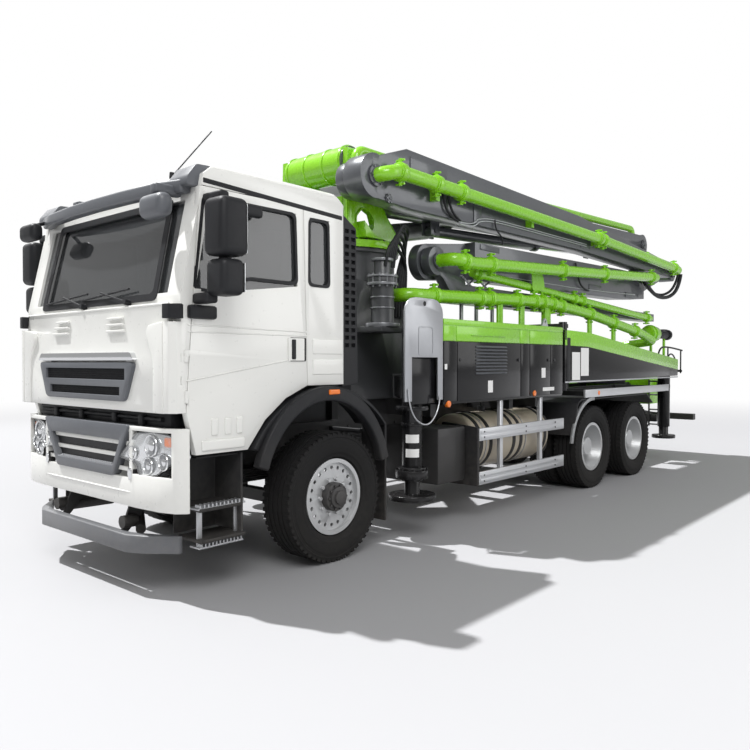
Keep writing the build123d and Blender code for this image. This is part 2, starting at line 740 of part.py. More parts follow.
# Bumper: one bent white shell with openings for the lower grille and the headlamps
BUMPER_PLAN = [
    (1366, BUMPER_HALF_W),
    (1385, BUMPER_HALF_W - 5),
    (1440, 1090),
    (1480, 960),
    (BUMPER_FRONT, 700),
]
with BuildPart() as bumper:
    outer = BUMPER_PLAN + [(x, -y) for x, y in reversed(BUMPER_PLAN)]
    inner = [(BUMPER_PLAN[0][0] - 1, BUMPER_HALF_W - BUMPER_T)]
    inner += [(x - BUMPER_T, y - BUMPER_T / 2) for x, y in BUMPER_PLAN[2:]]
    inner = inner + [(x, -y) for x, y in reversed(inner)]
    slab(outer, BUMPER_Z)
    slab(inner, (BUMPER_Z[0] - 1, BUMPER_Z[1] + 1), Mode.SUBTRACT)
    block((1400, 1600), (-LOW_GRILLE_HALF_W, LOW_GRILLE_HALF_W), LOW_GRILLE_Z, Mode.SUBTRACT)
    for side, hand in SIDES:
        block((1350, 1600), mirrored(side, LAMP_Y), LAMP_Z, Mode.SUBTRACT)
        bracket_y = mirrored(side, (RAIL_OUT_Y - 30, RAIL_OUT_Y))
        block((RAIL_ENDS[1], BUMPER_FRONT - BUMPER_T), bracket_y, (RAIL_Z[0] + 20, RAIL_Z[1] - 20))
    for low in (LOW_GRILLE_Z[0] + 40, LOW_GRILLE_Z[0] + 130, LOW_GRILLE_Z[0] + 220):
        block(
            (BUMPER_FRONT - 30, BUMPER_FRONT - 12),
            (-LOW_GRILLE_HALF_W - 5, LOW_GRILLE_HALF_W + 5),
            (low, low + 30),
        )
save(bumper, "bumper")

# Headlamps: a slanted housing that fills each lamp opening
with BuildPart() as headlamps:
    for side, hand in SIDES:
        slab(
            [
                (1385, side * (LAMP_Y[0] + SEAT_GAP)),
                (BUMPER_FRONT + 8, side * (LAMP_Y[0] + SEAT_GAP)),
                (1483, side * 960),
                (1440, side * (LAMP_Y[1] - SEAT_GAP)),
                (1385, side * (LAMP_Y[1] - SEAT_GAP)),
            ],
            (LAMP_Z[0] + SEAT_GAP, LAMP_Z[1] - SEAT_GAP),
        )
save(headlamps, "headlamps")

# Front underrun bar under the bumper, with swept ends and its brackets' feet
with BuildPart() as front_underrun:
    slab(
        [
            (1300, UNDERRUN_HALF_W),
            (1330, UNDERRUN_HALF_W),
            (1480, 780),
            (FRONT_REACH, 640),
            (FRONT_REACH, -640),
            (1480, -780),
            (1330, -UNDERRUN_HALF_W),
            (1300, -UNDERRUN_HALF_W),
            (1400, -760),
            (1470, -600),
            (1470, 600),
            (1400, 760),
        ],
        UNDERRUN_Z,
    )
save(front_underrun, "front_underrun")

# Steps below the doors: a well with two treads, hung from the frame
with BuildPart() as cab_steps:
    for side, hand in SIDES:
        block((905, 925), mirrored(side, (800, 1120)), (400, 960))
        block((925, 1270), mirrored(side, (800, 1120)), (585, 610))
        block((890, 1270), mirrored(side, (860, 1135)), (375, 400))
        block((925, 1270), mirrored(side, (800, 815)), (400, 960))
        block((925, 1270), mirrored(side, (800, 1080)), (945, 960))
        block((1000, 1060), mirrored(side, (RAIL_OUT_Y, 800)), (800, 860))
save(cab_steps, "cab_steps")

# Mudguards: an arch with a flap over each steered wheel, a long sheet over the rear wheels
with BuildPart() as mudguards:
    for side, hand in SIDES:
        ys = mirrored(side, (800, 1165))
        low, high = ys
        with BuildSketch(Plane.XZ.offset(-low)) as arch:
            with BuildLine():
                start = (at(840), 980)
                crown = (at(60), 1405)
                end = (at(-600), 1080)
                ThreePointArc(start, crown, end)
                Line(end, (at(-600), 1050))
                ThreePointArc((at(-600), 1050), (at(60), 1365), (at(800), 960))
                Line((at(800), 960), start)
            make_face()
        extrude(arch.sketch, amount=-(high - low))
        block((-690, -665), mirrored(side, (820, 1100)), (210, 1075))
        block((-690, -600), mirrored(side, (820, 1100)), (1050, 1075))
        block((-690, -640), mirrored(side, (RAIL_OUT_Y, 830)), (960, 1000))
        plate(
            [
                (-4020, 700),
                (-4150, 1090),
                (-4250, 1140),
                (-6400, 1140),
                (-6640, 1000),
                (-6620, 985),
                (-6390, 1120),
                (-4260, 1120),
                (-4170, 1080),
                (-4040, 700),
            ],
            mirrored(side, (RAIL_OUT_Y, 1235)),
        )
save(mudguards, "mudguards")

# Fuel and oil tanks: a cylinder on each side in two cradles
with BuildPart() as side_tanks:
    for side, hand in SIDES:
        y = side * (RAIL_OUT_Y + 100 + TANK_R)
        bar((TANK_X[0], y, 760), (TANK_X[1], y, 760), TANK_R)
        for station in (-2150, -2800, -3500):
            block(
                (station - 35, station + 35),
                mirrored(side, (520 + SEAT_GAP, abs(y))),
                (640, 880),
            )
save(side_tanks, "side_tanks")

# Side guards: two rails on posts in front of the tanks, and the rail over the rear wheels
with BuildPart() as side_guards:
    for side, hand in SIDES:
        for zs in GUARD_RAILS:
            block(GUARD_X, mirrored(side, (BODY_SIDE_Y - GUARD_T, BODY_SIDE_Y)), zs)
        for station in (-2400, -3250):
            block(
                (station - 30, station + 30),
                mirrored(side, (BODY_SIDE_Y - GUARD_T - 40, BODY_SIDE_Y - GUARD_T)),
                (GUARD_RAILS[0][0], SIDE_BOX_Z[0]),
            )
        block(WHEEL_RAIL_X, mirrored(side, (BODY_SIDE_Y - GUARD_T, BODY_SIDE_Y)), WHEEL_RAIL_Z)
save(side_guards, "side_guards")

# Deck boxes beside the pedestal: closed cabinets with their green upper band
with BuildPart() as side_boxes:
    for side, hand in SIDES:
        block(SIDE_BOX_X, mirrored(side, (SIDE_BOX_Y + SEAT_GAP, BODY_SIDE_Y)), SIDE_BOX_Z)
save(side_boxes, "side_boxes")

# Pedestal: the box that carries the slewing bearing, with the crossing outrigger housings
ARM_DIR = Vector(cos(radians(ARM_ANGLE)), sin(radians(ARM_ANGLE)), 0)
HOUSING_REACH = (700, 2690)


def arm_plane(side, reach):
    """Section plane of one front outrigger, at a distance back from its jack along the beam."""
    forward = Vector(ARM_DIR.X, side * ARM_DIR.Y, 0)
    jack = Vector(at(FRONT_JACK[0]), side * FRONT_JACK[1], ARM_Z[side])
    return Plane(origin=jack - forward * reach, x_dir=(0, 0, 1), z_dir=forward)


def beam(side, reaches, width, height, mode=Mode.ADD):
    """A box beam along one front outrigger between two distances back from its jack."""
    far, near = max(reaches), min(reaches)
    with BuildSketch(arm_plane(side, far)) as section:
        Rectangle(height, width)
    extrude(section.sketch, amount=far - near, mode=mode)


with BuildPart() as pedestal:
    block(PEDESTAL_X, (-PEDESTAL_HALF_W, PEDESTAL_HALF_W), (SUBFRAME_Z, PEDESTAL_TOP - 160))
    post((SLEW_X, 0), BEARING_R, (PEDESTAL_TOP - 170, TURRET_Z - 40))
    post((SLEW_X, 0), BEARING_R + 40, (TURRET_Z - 70, TURRET_Z - 30))
    for side, hand in SIDES:
        outer = ARM_W + 2 * BEAM_GAP + 2 * ARM_WALL
        beam(side, HOUSING_REACH, outer, ARM_H + 2 * BEAM_GAP + 2 * ARM_WALL)
    for side, hand in SIDES:
        beam(side, (0, HOUSING_REACH[1] + 510), ARM_W + 2 * BEAM_GAP, ARM_H + 2 * BEAM_GAP, Mode.SUBTRACT)
    # Slewing gearbox and motor on the left shoulder of the pedestal
    block((-1350, -900), (PEDESTAL_HALF_W - 20, 860), GEARBOX_SHELF_Z)
    for radius, low, high in GEARBOX_STEPS:
        post(GEARBOX, radius, (low, high))
save(pedestal, "pedestal")

# Front outriggers: the sliding beam, the jack's tube and the end panel
for side, hand in SIDES:
    with BuildPart() as front_arm:
        beam(side, (60, ARM_L), ARM_W, ARM_H)
        post((FRONT_JACK[0], side * FRONT_JACK[1]), JACK_TUBE_R, (JACK_LOW, JACK_TOP))
        plate(
            [
                (-1316, 1250),
                (-1316, 2040),
                (-1230, 2159),
                (-840, 2159),
                (-757, 2040),
                (-757, 1250),
                (-855, 1250),
                (-855, 1640),
                (-1239, 1640),
                (-1239, 1250),
            ],
            mirrored(side, (BODY_SIDE_Y - 12, BODY_SIDE_Y)),
        )
        block((-1090, -970), mirrored(side, (FRONT_JACK[1], BODY_SIDE_Y - 12)), (1700, 1900))
        post(
            (FRONT_JACK[0], side * FRONT_JACK[1]),
            JACK_LEG_R + PIN_GAP,
            (JACK_LOW - 1, JACK_TOP - 60),
            Mode.SUBTRACT,
        )
    save(front_arm, f"front_outrigger_{hand}")
    with BuildPart() as front_jack:
        post((FRONT_JACK[0], side * FRONT_JACK[1]), JACK_LEG_R, (FOOT_Z[1], JACK_TOP - 100))
        post((FRONT_JACK[0], side * FRONT_JACK[1]), FOOT_R, FOOT_Z)
    save(front_jack, f"front_jack_{hand}")

# Rear outriggers: a deep tapering arm that swings about a vertical pin, with a jack at its end
for side, hand in SIDES:
    with BuildPart() as wing:
        plate(
            [
                (WING_FRONT, 1350),
                (WING_FRONT, 1975),
                (-4440, 1958),
                (WING_REAR, 1632),
                (WING_REAR, 1378),
            ],
            mirrored(side, WING_Y),
        )
        post((REAR_JACK[0], side * REAR_JACK[1]), JACK_TUBE_R, (JACK_LOW + 60, REAR_JACK_TOP))
        post((WING_PIVOT[0], side * WING_PIVOT[1]), WING_PIN_R, (1250, 2080))
        post(
            (REAR_JACK[0], side * REAR_JACK[1]),
            JACK_LEG_R + PIN_GAP,
            (JACK_LOW, REAR_JACK_TOP - 50),
            Mode.SUBTRACT,
        )
    save(wing, f"rear_outrigger_{hand}")
    with BuildPart() as rear_jack:
        post((REAR_JACK[0], side * REAR_JACK[1]), JACK_LEG_R, (FOOT_Z[1] + 50, REAR_JACK_TOP - 80))
        post((REAR_JACK[0], side * REAR_JACK[1]), FOOT_R - 40, (FOOT_Z[0] + 50, FOOT_Z[1] + 50))
    save(rear_jack, f"rear_jack_{hand}")

# Turret: base ring, two cheek plates that carry the boom's root pin, and a rear web
CHEEK = [
    (-850, TURRET_Z),
    (-870, 3640),
    (-1100, 3640),
    (-1430, 3080),
    (-1640, 2860),
    (-1640, TURRET_Z),
]
with BuildPart() as turret:
    post((SLEW_X, 0), BEARING_R + 60, (TURRET_Z - 30 + SEAT_GAP, TURRET_Z + 40))
    for side, hand in SIDES:
        plate(CHEEK, mirrored(side, TURRET_PLATE_Y))
        outside = mirrored(side, (TURRET_PLATE_Y[1], TURRET_PLATE_Y[1] + 15))
        cross_rod((ROOT_X, ROOT_Z), ROOT_PIN_R + 45, outside)
        with BuildSketch(Plane.XZ.offset(-mirrored(side, TURRET_PLATE_Y)[0])) as hole:
            with Locations((at(-1110), 2960)):
                RegularPolygon(130, 8)
        extrude(hole.sketch, amount=-(TURRET_PLATE_Y[1] - TURRET_PLATE_Y[0]), mode=Mode.SUBTRACT)
        cross_rod(LUFF_FOOT, 70, mirrored(side, (BARREL_R + LUFF_GAP + 12, 180)))
        block((-1640, -1330), mirrored(side, (BARREL_R + LUFF_GAP + 12, 150)), (TURRET_Z, LUFF_FOOT[1]))
    block((-900, -850), (-TURRET_PLATE_Y[0], TURRET_PLATE_Y[0]), (TURRET_Z, 3180))
    cross_rod((ROOT_X, ROOT_Z), ROOT_PIN_R + PIN_GAP, (-500, 500), Mode.SUBTRACT)
    cross_rod((LUFF_FOOT[0], LUFF_FOOT[1]), BOOM_PIN_R + PIN_GAP, (-200, 200), Mode.SUBTRACT)
save(turret, "turret")


def arm(outline, lane, ends):
    """A boom section: a box arm in one lane with a round boss at each pin."""
    plate(outline, lane)
    for centre, radius in ends:
        cross_rod(centre, radius, lane)


# First boom section: root tube and pin, box arm, ear at the rear joint
with BuildPart() as boom_1:
    cross_rod((ROOT_X, ROOT_Z), ROOT_TUBE_R, (-TURRET_PLATE_Y[0] + SLIDE_GAP, TURRET_PLATE_Y[0] - SLIDE_GAP))
    cross_rod((ROOT_X, ROOT_Z), ROOT_PIN_R, (-TURRET_PLATE_Y[1] - 15, TURRET_PLATE_Y[1] + 15))
    arm(
        [
            (ROOT_X, ROOT_Z + ROOT_TUBE_R),
            (-1700, 3740),
            (-3200, 3760),
            (PIN_12[0], PIN_12[1] + 150),
            (PIN_12[0], PIN_12[1] - 150),
            (-3200, 3370),
            (-1700, 3360),
            (ROOT_X, ROOT_Z - ROOT_TUBE_R),
        ],
        LANE_1,
        [(PIN_12, 190)],
    )
    cross_rod(PIN_12, BOOM_PIN_R, (LANE_1[0] - 15, LANE_2[1] + 8))
    for side, hand in SIDES:
        block(
            (LUFF_EYE[0] - 110, LUFF_EYE[0] + 110),
            mirrored(side, (BARREL_R + LUFF_GAP + 10, BARREL_R + LUFF_GAP + 40)),
            (LUFF_EYE[1] - 90, 3400),
        )
save(boom_1, "boom_1")

# Second section: lies left of the first and carries the third on an offset neck
with BuildPart() as boom_2:
    arm(
        [
            (PIN_12[0], PIN_12[1] + 160),
            (-1640, 3530),
            (-1390, 3440),
            (-1390, 3180),
            (-1640, 3120),
            (PIN_12[0], PIN_12[1] - 160),
        ],
        LANE_2,
        [(PIN_12, 180)],
    )
    plate([(-1640, 3500), (-1390, 3440), (-1390, 3180), (-1640, 3150)], (LANE_2[1], NECK_2[1]))
    plate([(-1640, 3500), (PIN_23[0], 3470), (PIN_23[0], 3130), (-1640, 3150)], NECK_2)
    cross_rod(PIN_23, 170, NECK_2)
    cross_rod(PIN_23, BOOM_PIN_R, (NECK_2[0] - 8, LANE_3[1] + 10))
    cross_rod(PIN_12, BOOM_PIN_R + PIN_GAP, (LANE_2[0] - 1, LANE_2[1] + 1), Mode.SUBTRACT)
save(boom_2, "boom_2")

# Third section: the outer lane, full length
with BuildPart() as boom_3:
    arm(
        [
            (PIN_23[0] - 60, PIN_23[1] + 200),
            (-1300, 3640),
            (-5000, 3560),
            (PIN_34[0], PIN_34[1] + 140),
            (PIN_34[0], PIN_34[1] - 100),
            (-5000, 3110),
            (-1400, 3080),
            (PIN_23[0], PIN_23[1] - 200),
        ],
        LANE_3,
        [(PIN_23, 205), (PIN_34, 150)],
    )
    cross_rod(PIN_34, BOOM_PIN_R, (NECK_4[0] - 10, LANE_3[0] + 5))
    cross_rod(PIN_23, BOOM_PIN_R + PIN_GAP, (LANE_3[0] - 1, LANE_3[1] + 1), Mode.SUBTRACT)
save(boom_3, "boom_3")

# Fourth section: under the third, with a neck at each joint
with BuildPart() as boom_4:
    plate(
        [(-7560, 3150), (PIN_34[0], PIN_34[1] + 140), (PIN_34[0], PIN_34[1] - 140), (-7560, 2660)],
        NECK_4,
    )
    cross_rod(PIN_34, 140, NECK_4)
    plate([(-7600, 3010), (-7600, 2620), (-6700, 2560), (-2650, 2520), (-2650, 2930), (-6700, 3010)], LANE_4)
    plate([(-2700, 2930), (PIN_45[0], PIN_45[1] + 190), (PIN_45[0], PIN_45[1] - 190), (-2700, 2520)], NECK_4)
    cross_rod(PIN_45, 190, NECK_4)
    cross_rod(PIN_34, BOOM_PIN_R + PIN_GAP, (NECK_4[0] - 1, NECK_4[1] + 1), Mode.SUBTRACT)
    cross_rod(PIN_45, BOOM_PIN_R, (NECK_4[0] - 10, NECK_5[1] + 10))
save(boom_4, "boom_4")

# Fifth section: hangs under the fourth and ends in the hose tip
with BuildPart() as boom_5:
    plate(
        [
            (PIN_45[0] - 100, PIN_45[1] - 170),
            (PIN_45[0] + 130, PIN_45[1] - 60),
            (PIN_45[0] - 500, PIN_45[1] - 150),
            (PIN_45[0] - 610, PIN_45[1] - 420),
            (PIN_45[0] - 350, PIN_45[1] - 420),
        ],
        NECK_5,
    )
    cross_rod(PIN_45, 150, NECK_5)
    beam = [
        (-2250, 2240),
        (-2250, 2440),
        (-5000, 2440),
        (TIP_5[0], TIP_5[1] + 60),
        (TIP_5[0], TIP_5[1] - 60),
        (-5000, 2240),
    ]
    plate(beam, LANE_5)
    cross_rod(PIN_45, BOOM_PIN_R + PIN_GAP, (NECK_5[0] - 1, NECK_5[1] + 1), Mode.SUBTRACT)
save(boom_5, "boom_5")

# Concrete pipes of each section, on brackets from the arm that carries them
with BuildPart() as pipes_1:
    pipe(
        [
            (ROOT_X, -545, ROOT_Z),
            (ROOT_X - 500, -545, 3560),
            (-2200, -400, 3560),
            (PIN_12[0], -400, PIN_12[1]),
        ],
        180,
        PIPE_R,
    )
    for station in (-2600, -5000, -7600):
        block((station - 40, station + 40), (LANE_1[0] - 110, LANE_1[0]), (3545, 3585))
save(pipes_1, "pipes_1")

with BuildPart() as pipes_2:
    rear = along((PIN_12[0], PIN_12[1] + 160), (-1640, 3530), 0.03)
    lane = (LANE_2[0] + LANE_2[1]) / 2
    pipe(
        [
            (rear[0], lane, rear[1] + 3),
            (rear[0], lane, 3860),
            (rear[0] + 180, lane, 3855),
            (-1950, lane, 3640),
            (-1500, 535, 3600),
            (PIN_23[0] - 60, 535, 3600),
            (PIN_23[0] - 60, 535, 3475),
        ],
        90,
        PIPE_R - 15,
    )
save(pipes_2, "pipes_2")

with BuildPart() as pipes_3:
    pipe(
        [
            (PIN_23[0], LANE_3[1] + 12, PIN_23[1]),
            (PIN_23[0], PIPE_Y + 10, PIN_23[1]),
            (PIN_23[0] - 180, PIPE_Y, 3350),
            (-5400, PIPE_Y, 3285),
            (PIN_34[0] + 150, PIPE_Y, 3165),
            (PIN_34[0] + 20, PIPE_Y, 3140),
            (PIN_34[0] + 20, LANE_3[1], 3140),
        ],
        90,
        PIPE_R,
    )
    for station in (-1700, -3600, -5400, -7300):
        block((station - 30, station + 30), (LANE_3[1], PIPE_Y - 40), (3200, 3330))
save(pipes_3, "pipes_3")

with BuildPart() as pipes_4:
    pipe(
        [
            (PIN_45[0], NECK_5[1] + 15, PIN_45[1]),
            (PIN_45[0], PIPE_Y, PIN_45[1]),
            (-2250, PIPE_Y, 2635),
            (-5400, PIPE_Y, 2810),
            (-7400, PIPE_Y, 2935),
            (-7550, PIPE_Y, 2940),
            (-7550, LANE_4[1], 2940),
        ],
        90,
        PIPE_R,
    )
    for station, z in ((-2900, 2670), (-4700, 2770), (-6600, 2880)):
        block((station - 30, station + 30), (LANE_4[1], PIPE_Y - 40), (z - 40, z + 40))
save(pipes_4, "pipes_4")

with BuildPart() as pipes_5:
    y = LANE_5[1] + 65
    pipe([(-2500, y, 2576), (-5100, y, 2439), (-7700, y, 2303)], 90, PIPE_R - 18)
    for station in (-2700, -4700, -7000):
        z = 2444 + (station + 5000) * 0.0525
        block((station - 30, station + 30), (LANE_5[1], y - 30), (z - 30, z + 30))
save(pipes_5, "pipes_5")

# Luffing cylinder: barrel hinged in the turret, rod up to the first section's lugs
luff_foot = (LUFF_FOOT[0], 0, LUFF_FOOT[1])
luff_eye = (LUFF_EYE[0], 0, LUFF_EYE[1])


def luff_point(share):
    """A point on the cylinder's axis at a share of its length from the foot."""
    return tuple(a + (b - a) * share for a, b in zip(luff_foot, luff_eye))


with BuildPart() as luff_barrel:
    cross_rod(LUFF_FOOT, 75, (-BARREL_R, BARREL_R))
    bar(luff_point(0.0), luff_point(0.86), BARREL_R)
    bar(luff_point(0.08), luff_point(0.87), ROD_R + PIN_GAP, Mode.SUBTRACT)
    cross_rod(LUFF_FOOT, BOOM_PIN_R, (-180, 180))
save(luff_barrel, "luff_barrel")
with BuildPart() as luff_rod:
    bar(luff_point(0.12), luff_point(1.0), ROD_R)
    cross_rod(LUFF_EYE, 72, (-BARREL_R + 15, BARREL_R - 15))
save(luff_rod, "luff_rod")

# Hopper at the rear: an open steel box with a grate and an agitator shaft
with BuildPart() as hopper:
    front, rear = HOPPER_X[1], HOPPER_X[0]
    plate(
        [
            (front, HOPPER_Z[1]),
            (rear, HOPPER_Z[1] - 60),
            (rear + 150, HOPPER_Z[0] + 100),
            (rear + 250, HOPPER_Z[0]),
            (front, HOPPER_Z[0]),
        ],
        (-HOPPER_HALF_W, HOPPER_HALF_W),
    )
    plate(
        [
            (front - HOPPER_WALL, HOPPER_Z[1] + 5),
            (rear + HOPPER_WALL, HOPPER_Z[1] + 5),
            (rear + 150 + HOPPER_WALL, HOPPER_Z[0] + 105),
            (rear + 250 + HOPPER_WALL, HOPPER_Z[0] + HOPPER_WALL),
            (front - HOPPER_WALL, HOPPER_Z[0] + HOPPER_WALL),
        ],
        (-HOPPER_HALF_W + HOPPER_WALL, HOPPER_HALF_W - HOPPER_WALL),
        Mode.SUBTRACT,
    )
    cross_rod(AGITATOR, AGITATOR_R, (-HOPPER_HALF_W, HOPPER_HALF_W))
    for number in range(GRATE_BARS):
        y = (number - (GRATE_BARS - 1) / 2) * GRATE_PITCH
        block((rear + 5, front - 5), (y - 6, y + 6), (HOPPER_Z[1] - 90, HOPPER_Z[1] - 60))
save(hopper, "hopper")

# Pump: two delivery cylinders, the water box and the hydraulic tank on the subframe
with BuildPart() as pump_unit:
    for side, hand in SIDES:
        y = side * PUMP_CYL_Y
        bar((PUMP_X[0], y, PUMP_CYL_Z), (PUMP_X[1], y, PUMP_CYL_Z), PUMP_CYL_R)
    block(WATER_BOX_X, (-WATER_BOX_HALF_W, WATER_BOX_HALF_W), (SUBFRAME_Z, WATER_BOX_TOP))
    for stations in ((-5750, -5350), (PUMP_X[1] - 30, PUMP_X[1] + 100)):
        block(stations, (-PUMP_FRAME_HALF_W, PUMP_FRAME_HALF_W), (SUBFRAME_Z, PUMP_FRAME_TOP))
    # Water tank ahead of the pump, on two bearers
    tank_low = SUBFRAME_Z + TANK_BEARER_H
    block(WATER_TANK_X, (-WATER_TANK_HALF_W, WATER_TANK_HALF_W), (tank_low, WATER_TANK_TOP))
    for station in (WATER_TANK_X[0] + 50, WATER_TANK_X[1] - 100):
        block((station - 40, station + 40), (-RAIL_OUT_Y, RAIL_OUT_Y), (SUBFRAME_Z, tank_low))
save(pump_unit, "pump_unit")

# Delivery line from the pump's outlet to the pedestal, on green posts
LINE = [
    (-7690, 300, 1640),
    (-7690, 300, 1860),
    (-7690, LINE_Y, 1930),
    (-7100, LINE_Y, 2050),
    (-5300, LINE_Y, 2255),
    (-4020, LINE_Y, 2340),
    (-2960, LINE_Y, 2310),
    (-1450, LINE_Y, 2250),
    (-1330, LINE_Y, 2250),
    (-1330, PEDESTAL_HALF_W, 2250),
]
with BuildPart() as delivery_line:
    pipe(LINE, 110, PIPE_R)
    for station, low in ((-2960, SUBFRAME_Z + SEAT_GAP), (-4000, 2060)):
        block((station - 25, station + 25), (LINE_Y - 25, LINE_Y + 25), (low, 2300))
save(delivery_line, "delivery_line")
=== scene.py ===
import math

import bpy
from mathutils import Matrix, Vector


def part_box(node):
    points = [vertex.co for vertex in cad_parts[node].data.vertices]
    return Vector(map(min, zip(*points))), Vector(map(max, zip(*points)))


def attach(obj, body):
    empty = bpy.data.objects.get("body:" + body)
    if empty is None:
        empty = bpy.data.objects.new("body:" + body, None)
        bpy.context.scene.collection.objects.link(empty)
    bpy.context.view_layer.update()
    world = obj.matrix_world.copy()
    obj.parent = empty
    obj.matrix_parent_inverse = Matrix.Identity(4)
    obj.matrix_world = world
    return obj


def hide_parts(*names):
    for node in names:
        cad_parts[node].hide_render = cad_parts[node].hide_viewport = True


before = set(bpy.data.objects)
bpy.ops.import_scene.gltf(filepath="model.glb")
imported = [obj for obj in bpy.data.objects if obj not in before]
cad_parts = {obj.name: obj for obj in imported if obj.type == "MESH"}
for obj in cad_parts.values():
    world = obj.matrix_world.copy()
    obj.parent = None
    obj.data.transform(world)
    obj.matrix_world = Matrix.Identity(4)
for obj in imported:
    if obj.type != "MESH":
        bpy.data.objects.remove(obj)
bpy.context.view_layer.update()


# Camera: low and close to the left front corner, as the photograph looks at the truck.
# Stations along the truck are measured from the front axle, positive ahead of it.
def middle(node):
    """Middle of a node's box."""
    low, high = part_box(node)
    return (low + high) / 2


FRONT_AXLE_X = middle("front_tyre_left").x


def at(station):
    """X of a station measured from the front axle."""
    return FRONT_AXLE_X + station


CAMERA_STATION, CAMERA_Y, CAMERA_Z = 4.104, 5.176, 1.606
CAMERA_YAW, CAMERA_PITCH = 41.31, -1.10
LENS, SENSOR, SIGHT = 34.5, 36, 200
bpy.ops.object.select_all(action="DESELECT")
bpy.ops.object.camera_add(
    location=(at(CAMERA_STATION), CAMERA_Y, CAMERA_Z),
    rotation=(math.radians(90 + CAMERA_PITCH), 0, math.radians(90 + CAMERA_YAW)),
)
camera = bpy.context.object
camera.data.lens = LENS
camera.data.sensor_width = SENSOR
camera.data.clip_end = SIGHT
scene = bpy.context.scene
scene.camera = camera
scene.view_settings.view_transform = "Standard"


# Studio: a pale floor that keeps a shadow, an even white sky, one large soft key light, two
# fills and a sun. The floor and the sky turn white for the camera only.
def coat_of(name):
    """A new material, its node tree and its shader."""
    made = bpy.data.materials.new(name)
    made.use_nodes = True
    return made, made.node_tree, made.node_tree.nodes["Principled BSDF"]


def wired(tree, target, inputs):
    """Sets a node's inputs, each to a value or to another node's output."""
    for socket, value in inputs.items():
        if isinstance(value, bpy.types.NodeSocket):
            tree.links.new(value, target.inputs[socket])
        else:
            target.inputs[socket].default_value = value
    return target


def node(tree, kind, inputs, **settings):
    """A new shader node with its settings and inputs."""
    made = tree.nodes.new("ShaderNode" + kind)
    for setting, value in settings.items():
        setattr(made, setting, value)
    return wired(tree, made, inputs)


def looked_at(tree):
    """1 for the rays that reach a place from the camera, straight or through glass."""
    rays = node(tree, "LightPath", {})
    pair = {0: rays.outputs["Is Camera Ray"], 1: rays.outputs["Is Transmission Ray"]}
    return node(tree, "Math", pair, operation="MAXIMUM").outputs[0]


SKY_LIGHT = 0.45
FLOOR_GREY = (0.35, 0.35, 0.36, 1)
FLOOR_SIZE = 160
# Far from the truck the floor turns into the white of the sky, for the camera alone
FADE_FROM, FADE_TO = 9, 26
world = scene.world or bpy.data.worlds.new("Sky")
scene.world = world
world.use_nodes = True
sky = world.node_tree
sky.nodes.clear()
level = node(sky, "MapRange", {"To Min": SKY_LIGHT, "To Max": 1.0, "Value": looked_at(sky)})
glow = node(sky, "Background", {"Color": (1, 1, 1, 1), "Strength": level.outputs["Result"]})
node(sky, "OutputWorld", {"Surface": glow.outputs[0]})

floor_finish, ground, floor_shader = coat_of("floor")
grain = node(ground, "TexNoise", {"Scale": 40})
relief = node(ground, "Bump", {"Strength": 0.05, "Height": grain.outputs["Fac"]})
wired(
    ground,
    floor_shader,
    {"Base Color": FLOOR_GREY, "Roughness": 0.75, "Normal": relief.outputs["Normal"]},
)
spot = node(ground, "TexCoord", {})
reach = node(ground, "VectorMath", {0: spot.outputs["Object"]}, operation="LENGTH")
fade_ends = {"From Min": FADE_FROM, "From Max": FADE_TO, "Value": reach.outputs["Value"]}
fade = node(ground, "MapRange", fade_ends, interpolation_type="SMOOTHSTEP")
whiteness = node(
    ground, "Math", {0: fade.outputs["Result"], 1: looked_at(ground)}, operation="MULTIPLY"
)
white = node(ground, "Emission", {})
faded = node(
    ground,
    "MixShader",
    {0: whiteness.outputs[0], 1: floor_shader.outputs[0], 2: white.outputs[0]},
)
wired(ground, ground.nodes["Material Output"], {"Surface": faded.outputs[0]})
bpy.ops.object.select_all(action="DESELECT")
bpy.ops.mesh.primitive_plane_add(size=FLOOR_SIZE, location=(0, 0, -0.002))
floor = bpy.context.object
floor.name = "floor"
floor.data.materials.append(floor_finish)


def lit(name, kind, energy, place, aim):
    """A lamp of a kind at a place, turned to what it aims at."""
    turn = (Vector(aim) - Vector(place)).to_track_quat("-Z", "Y").to_euler()
    bpy.ops.object.select_all(action="DESELECT")
    bpy.ops.object.light_add(type=kind, location=place, rotation=turn)
    lamp = bpy.context.object
    lamp.name = name
    lamp.data.energy = energy
    return lamp


for name, energy, size, place, aim in (
    ("key", 1050, 7, (10, 9, 11), (1, 0, 1.5)),
    ("side_fill", 420, 8, (-6, 12, 6), (-2, 0, 1.5)),
    ("far_fill", 300, 8, (2, -13, 7), (0, 0, 1.5)),
):
    lit(name, "AREA", energy, place, aim).data.size = size
# The sun stands high over the far side and throws the shadow towards the camera
SUN_PLACE = Vector((4, -10, 18))
SUN_FROM = Vector((0.20, -0.55, 1.0))
sun = lit("sun", "SUN", 6.0, SUN_PLACE, SUN_PLACE - SUN_FROM)
sun.data.angle = math.radians(1.2)


# Cab body: pressed sheet in a warm white gloss, welded and sprayed as one shell. The doors,
# the lid under the windscreen and the bumper wear the same coat.

# A colour mix node keeps its colour sockets at these places
MIX_FROM, MIX_TO, MIX_RESULT = 6, 7, 2
# Road dust lies thickest near the ground and ends at the height of the wheel arches
DUST_TOP, DUST_FULL = 1.1, 0.2
DUST = (0.30, 0.27, 0.23, 1)


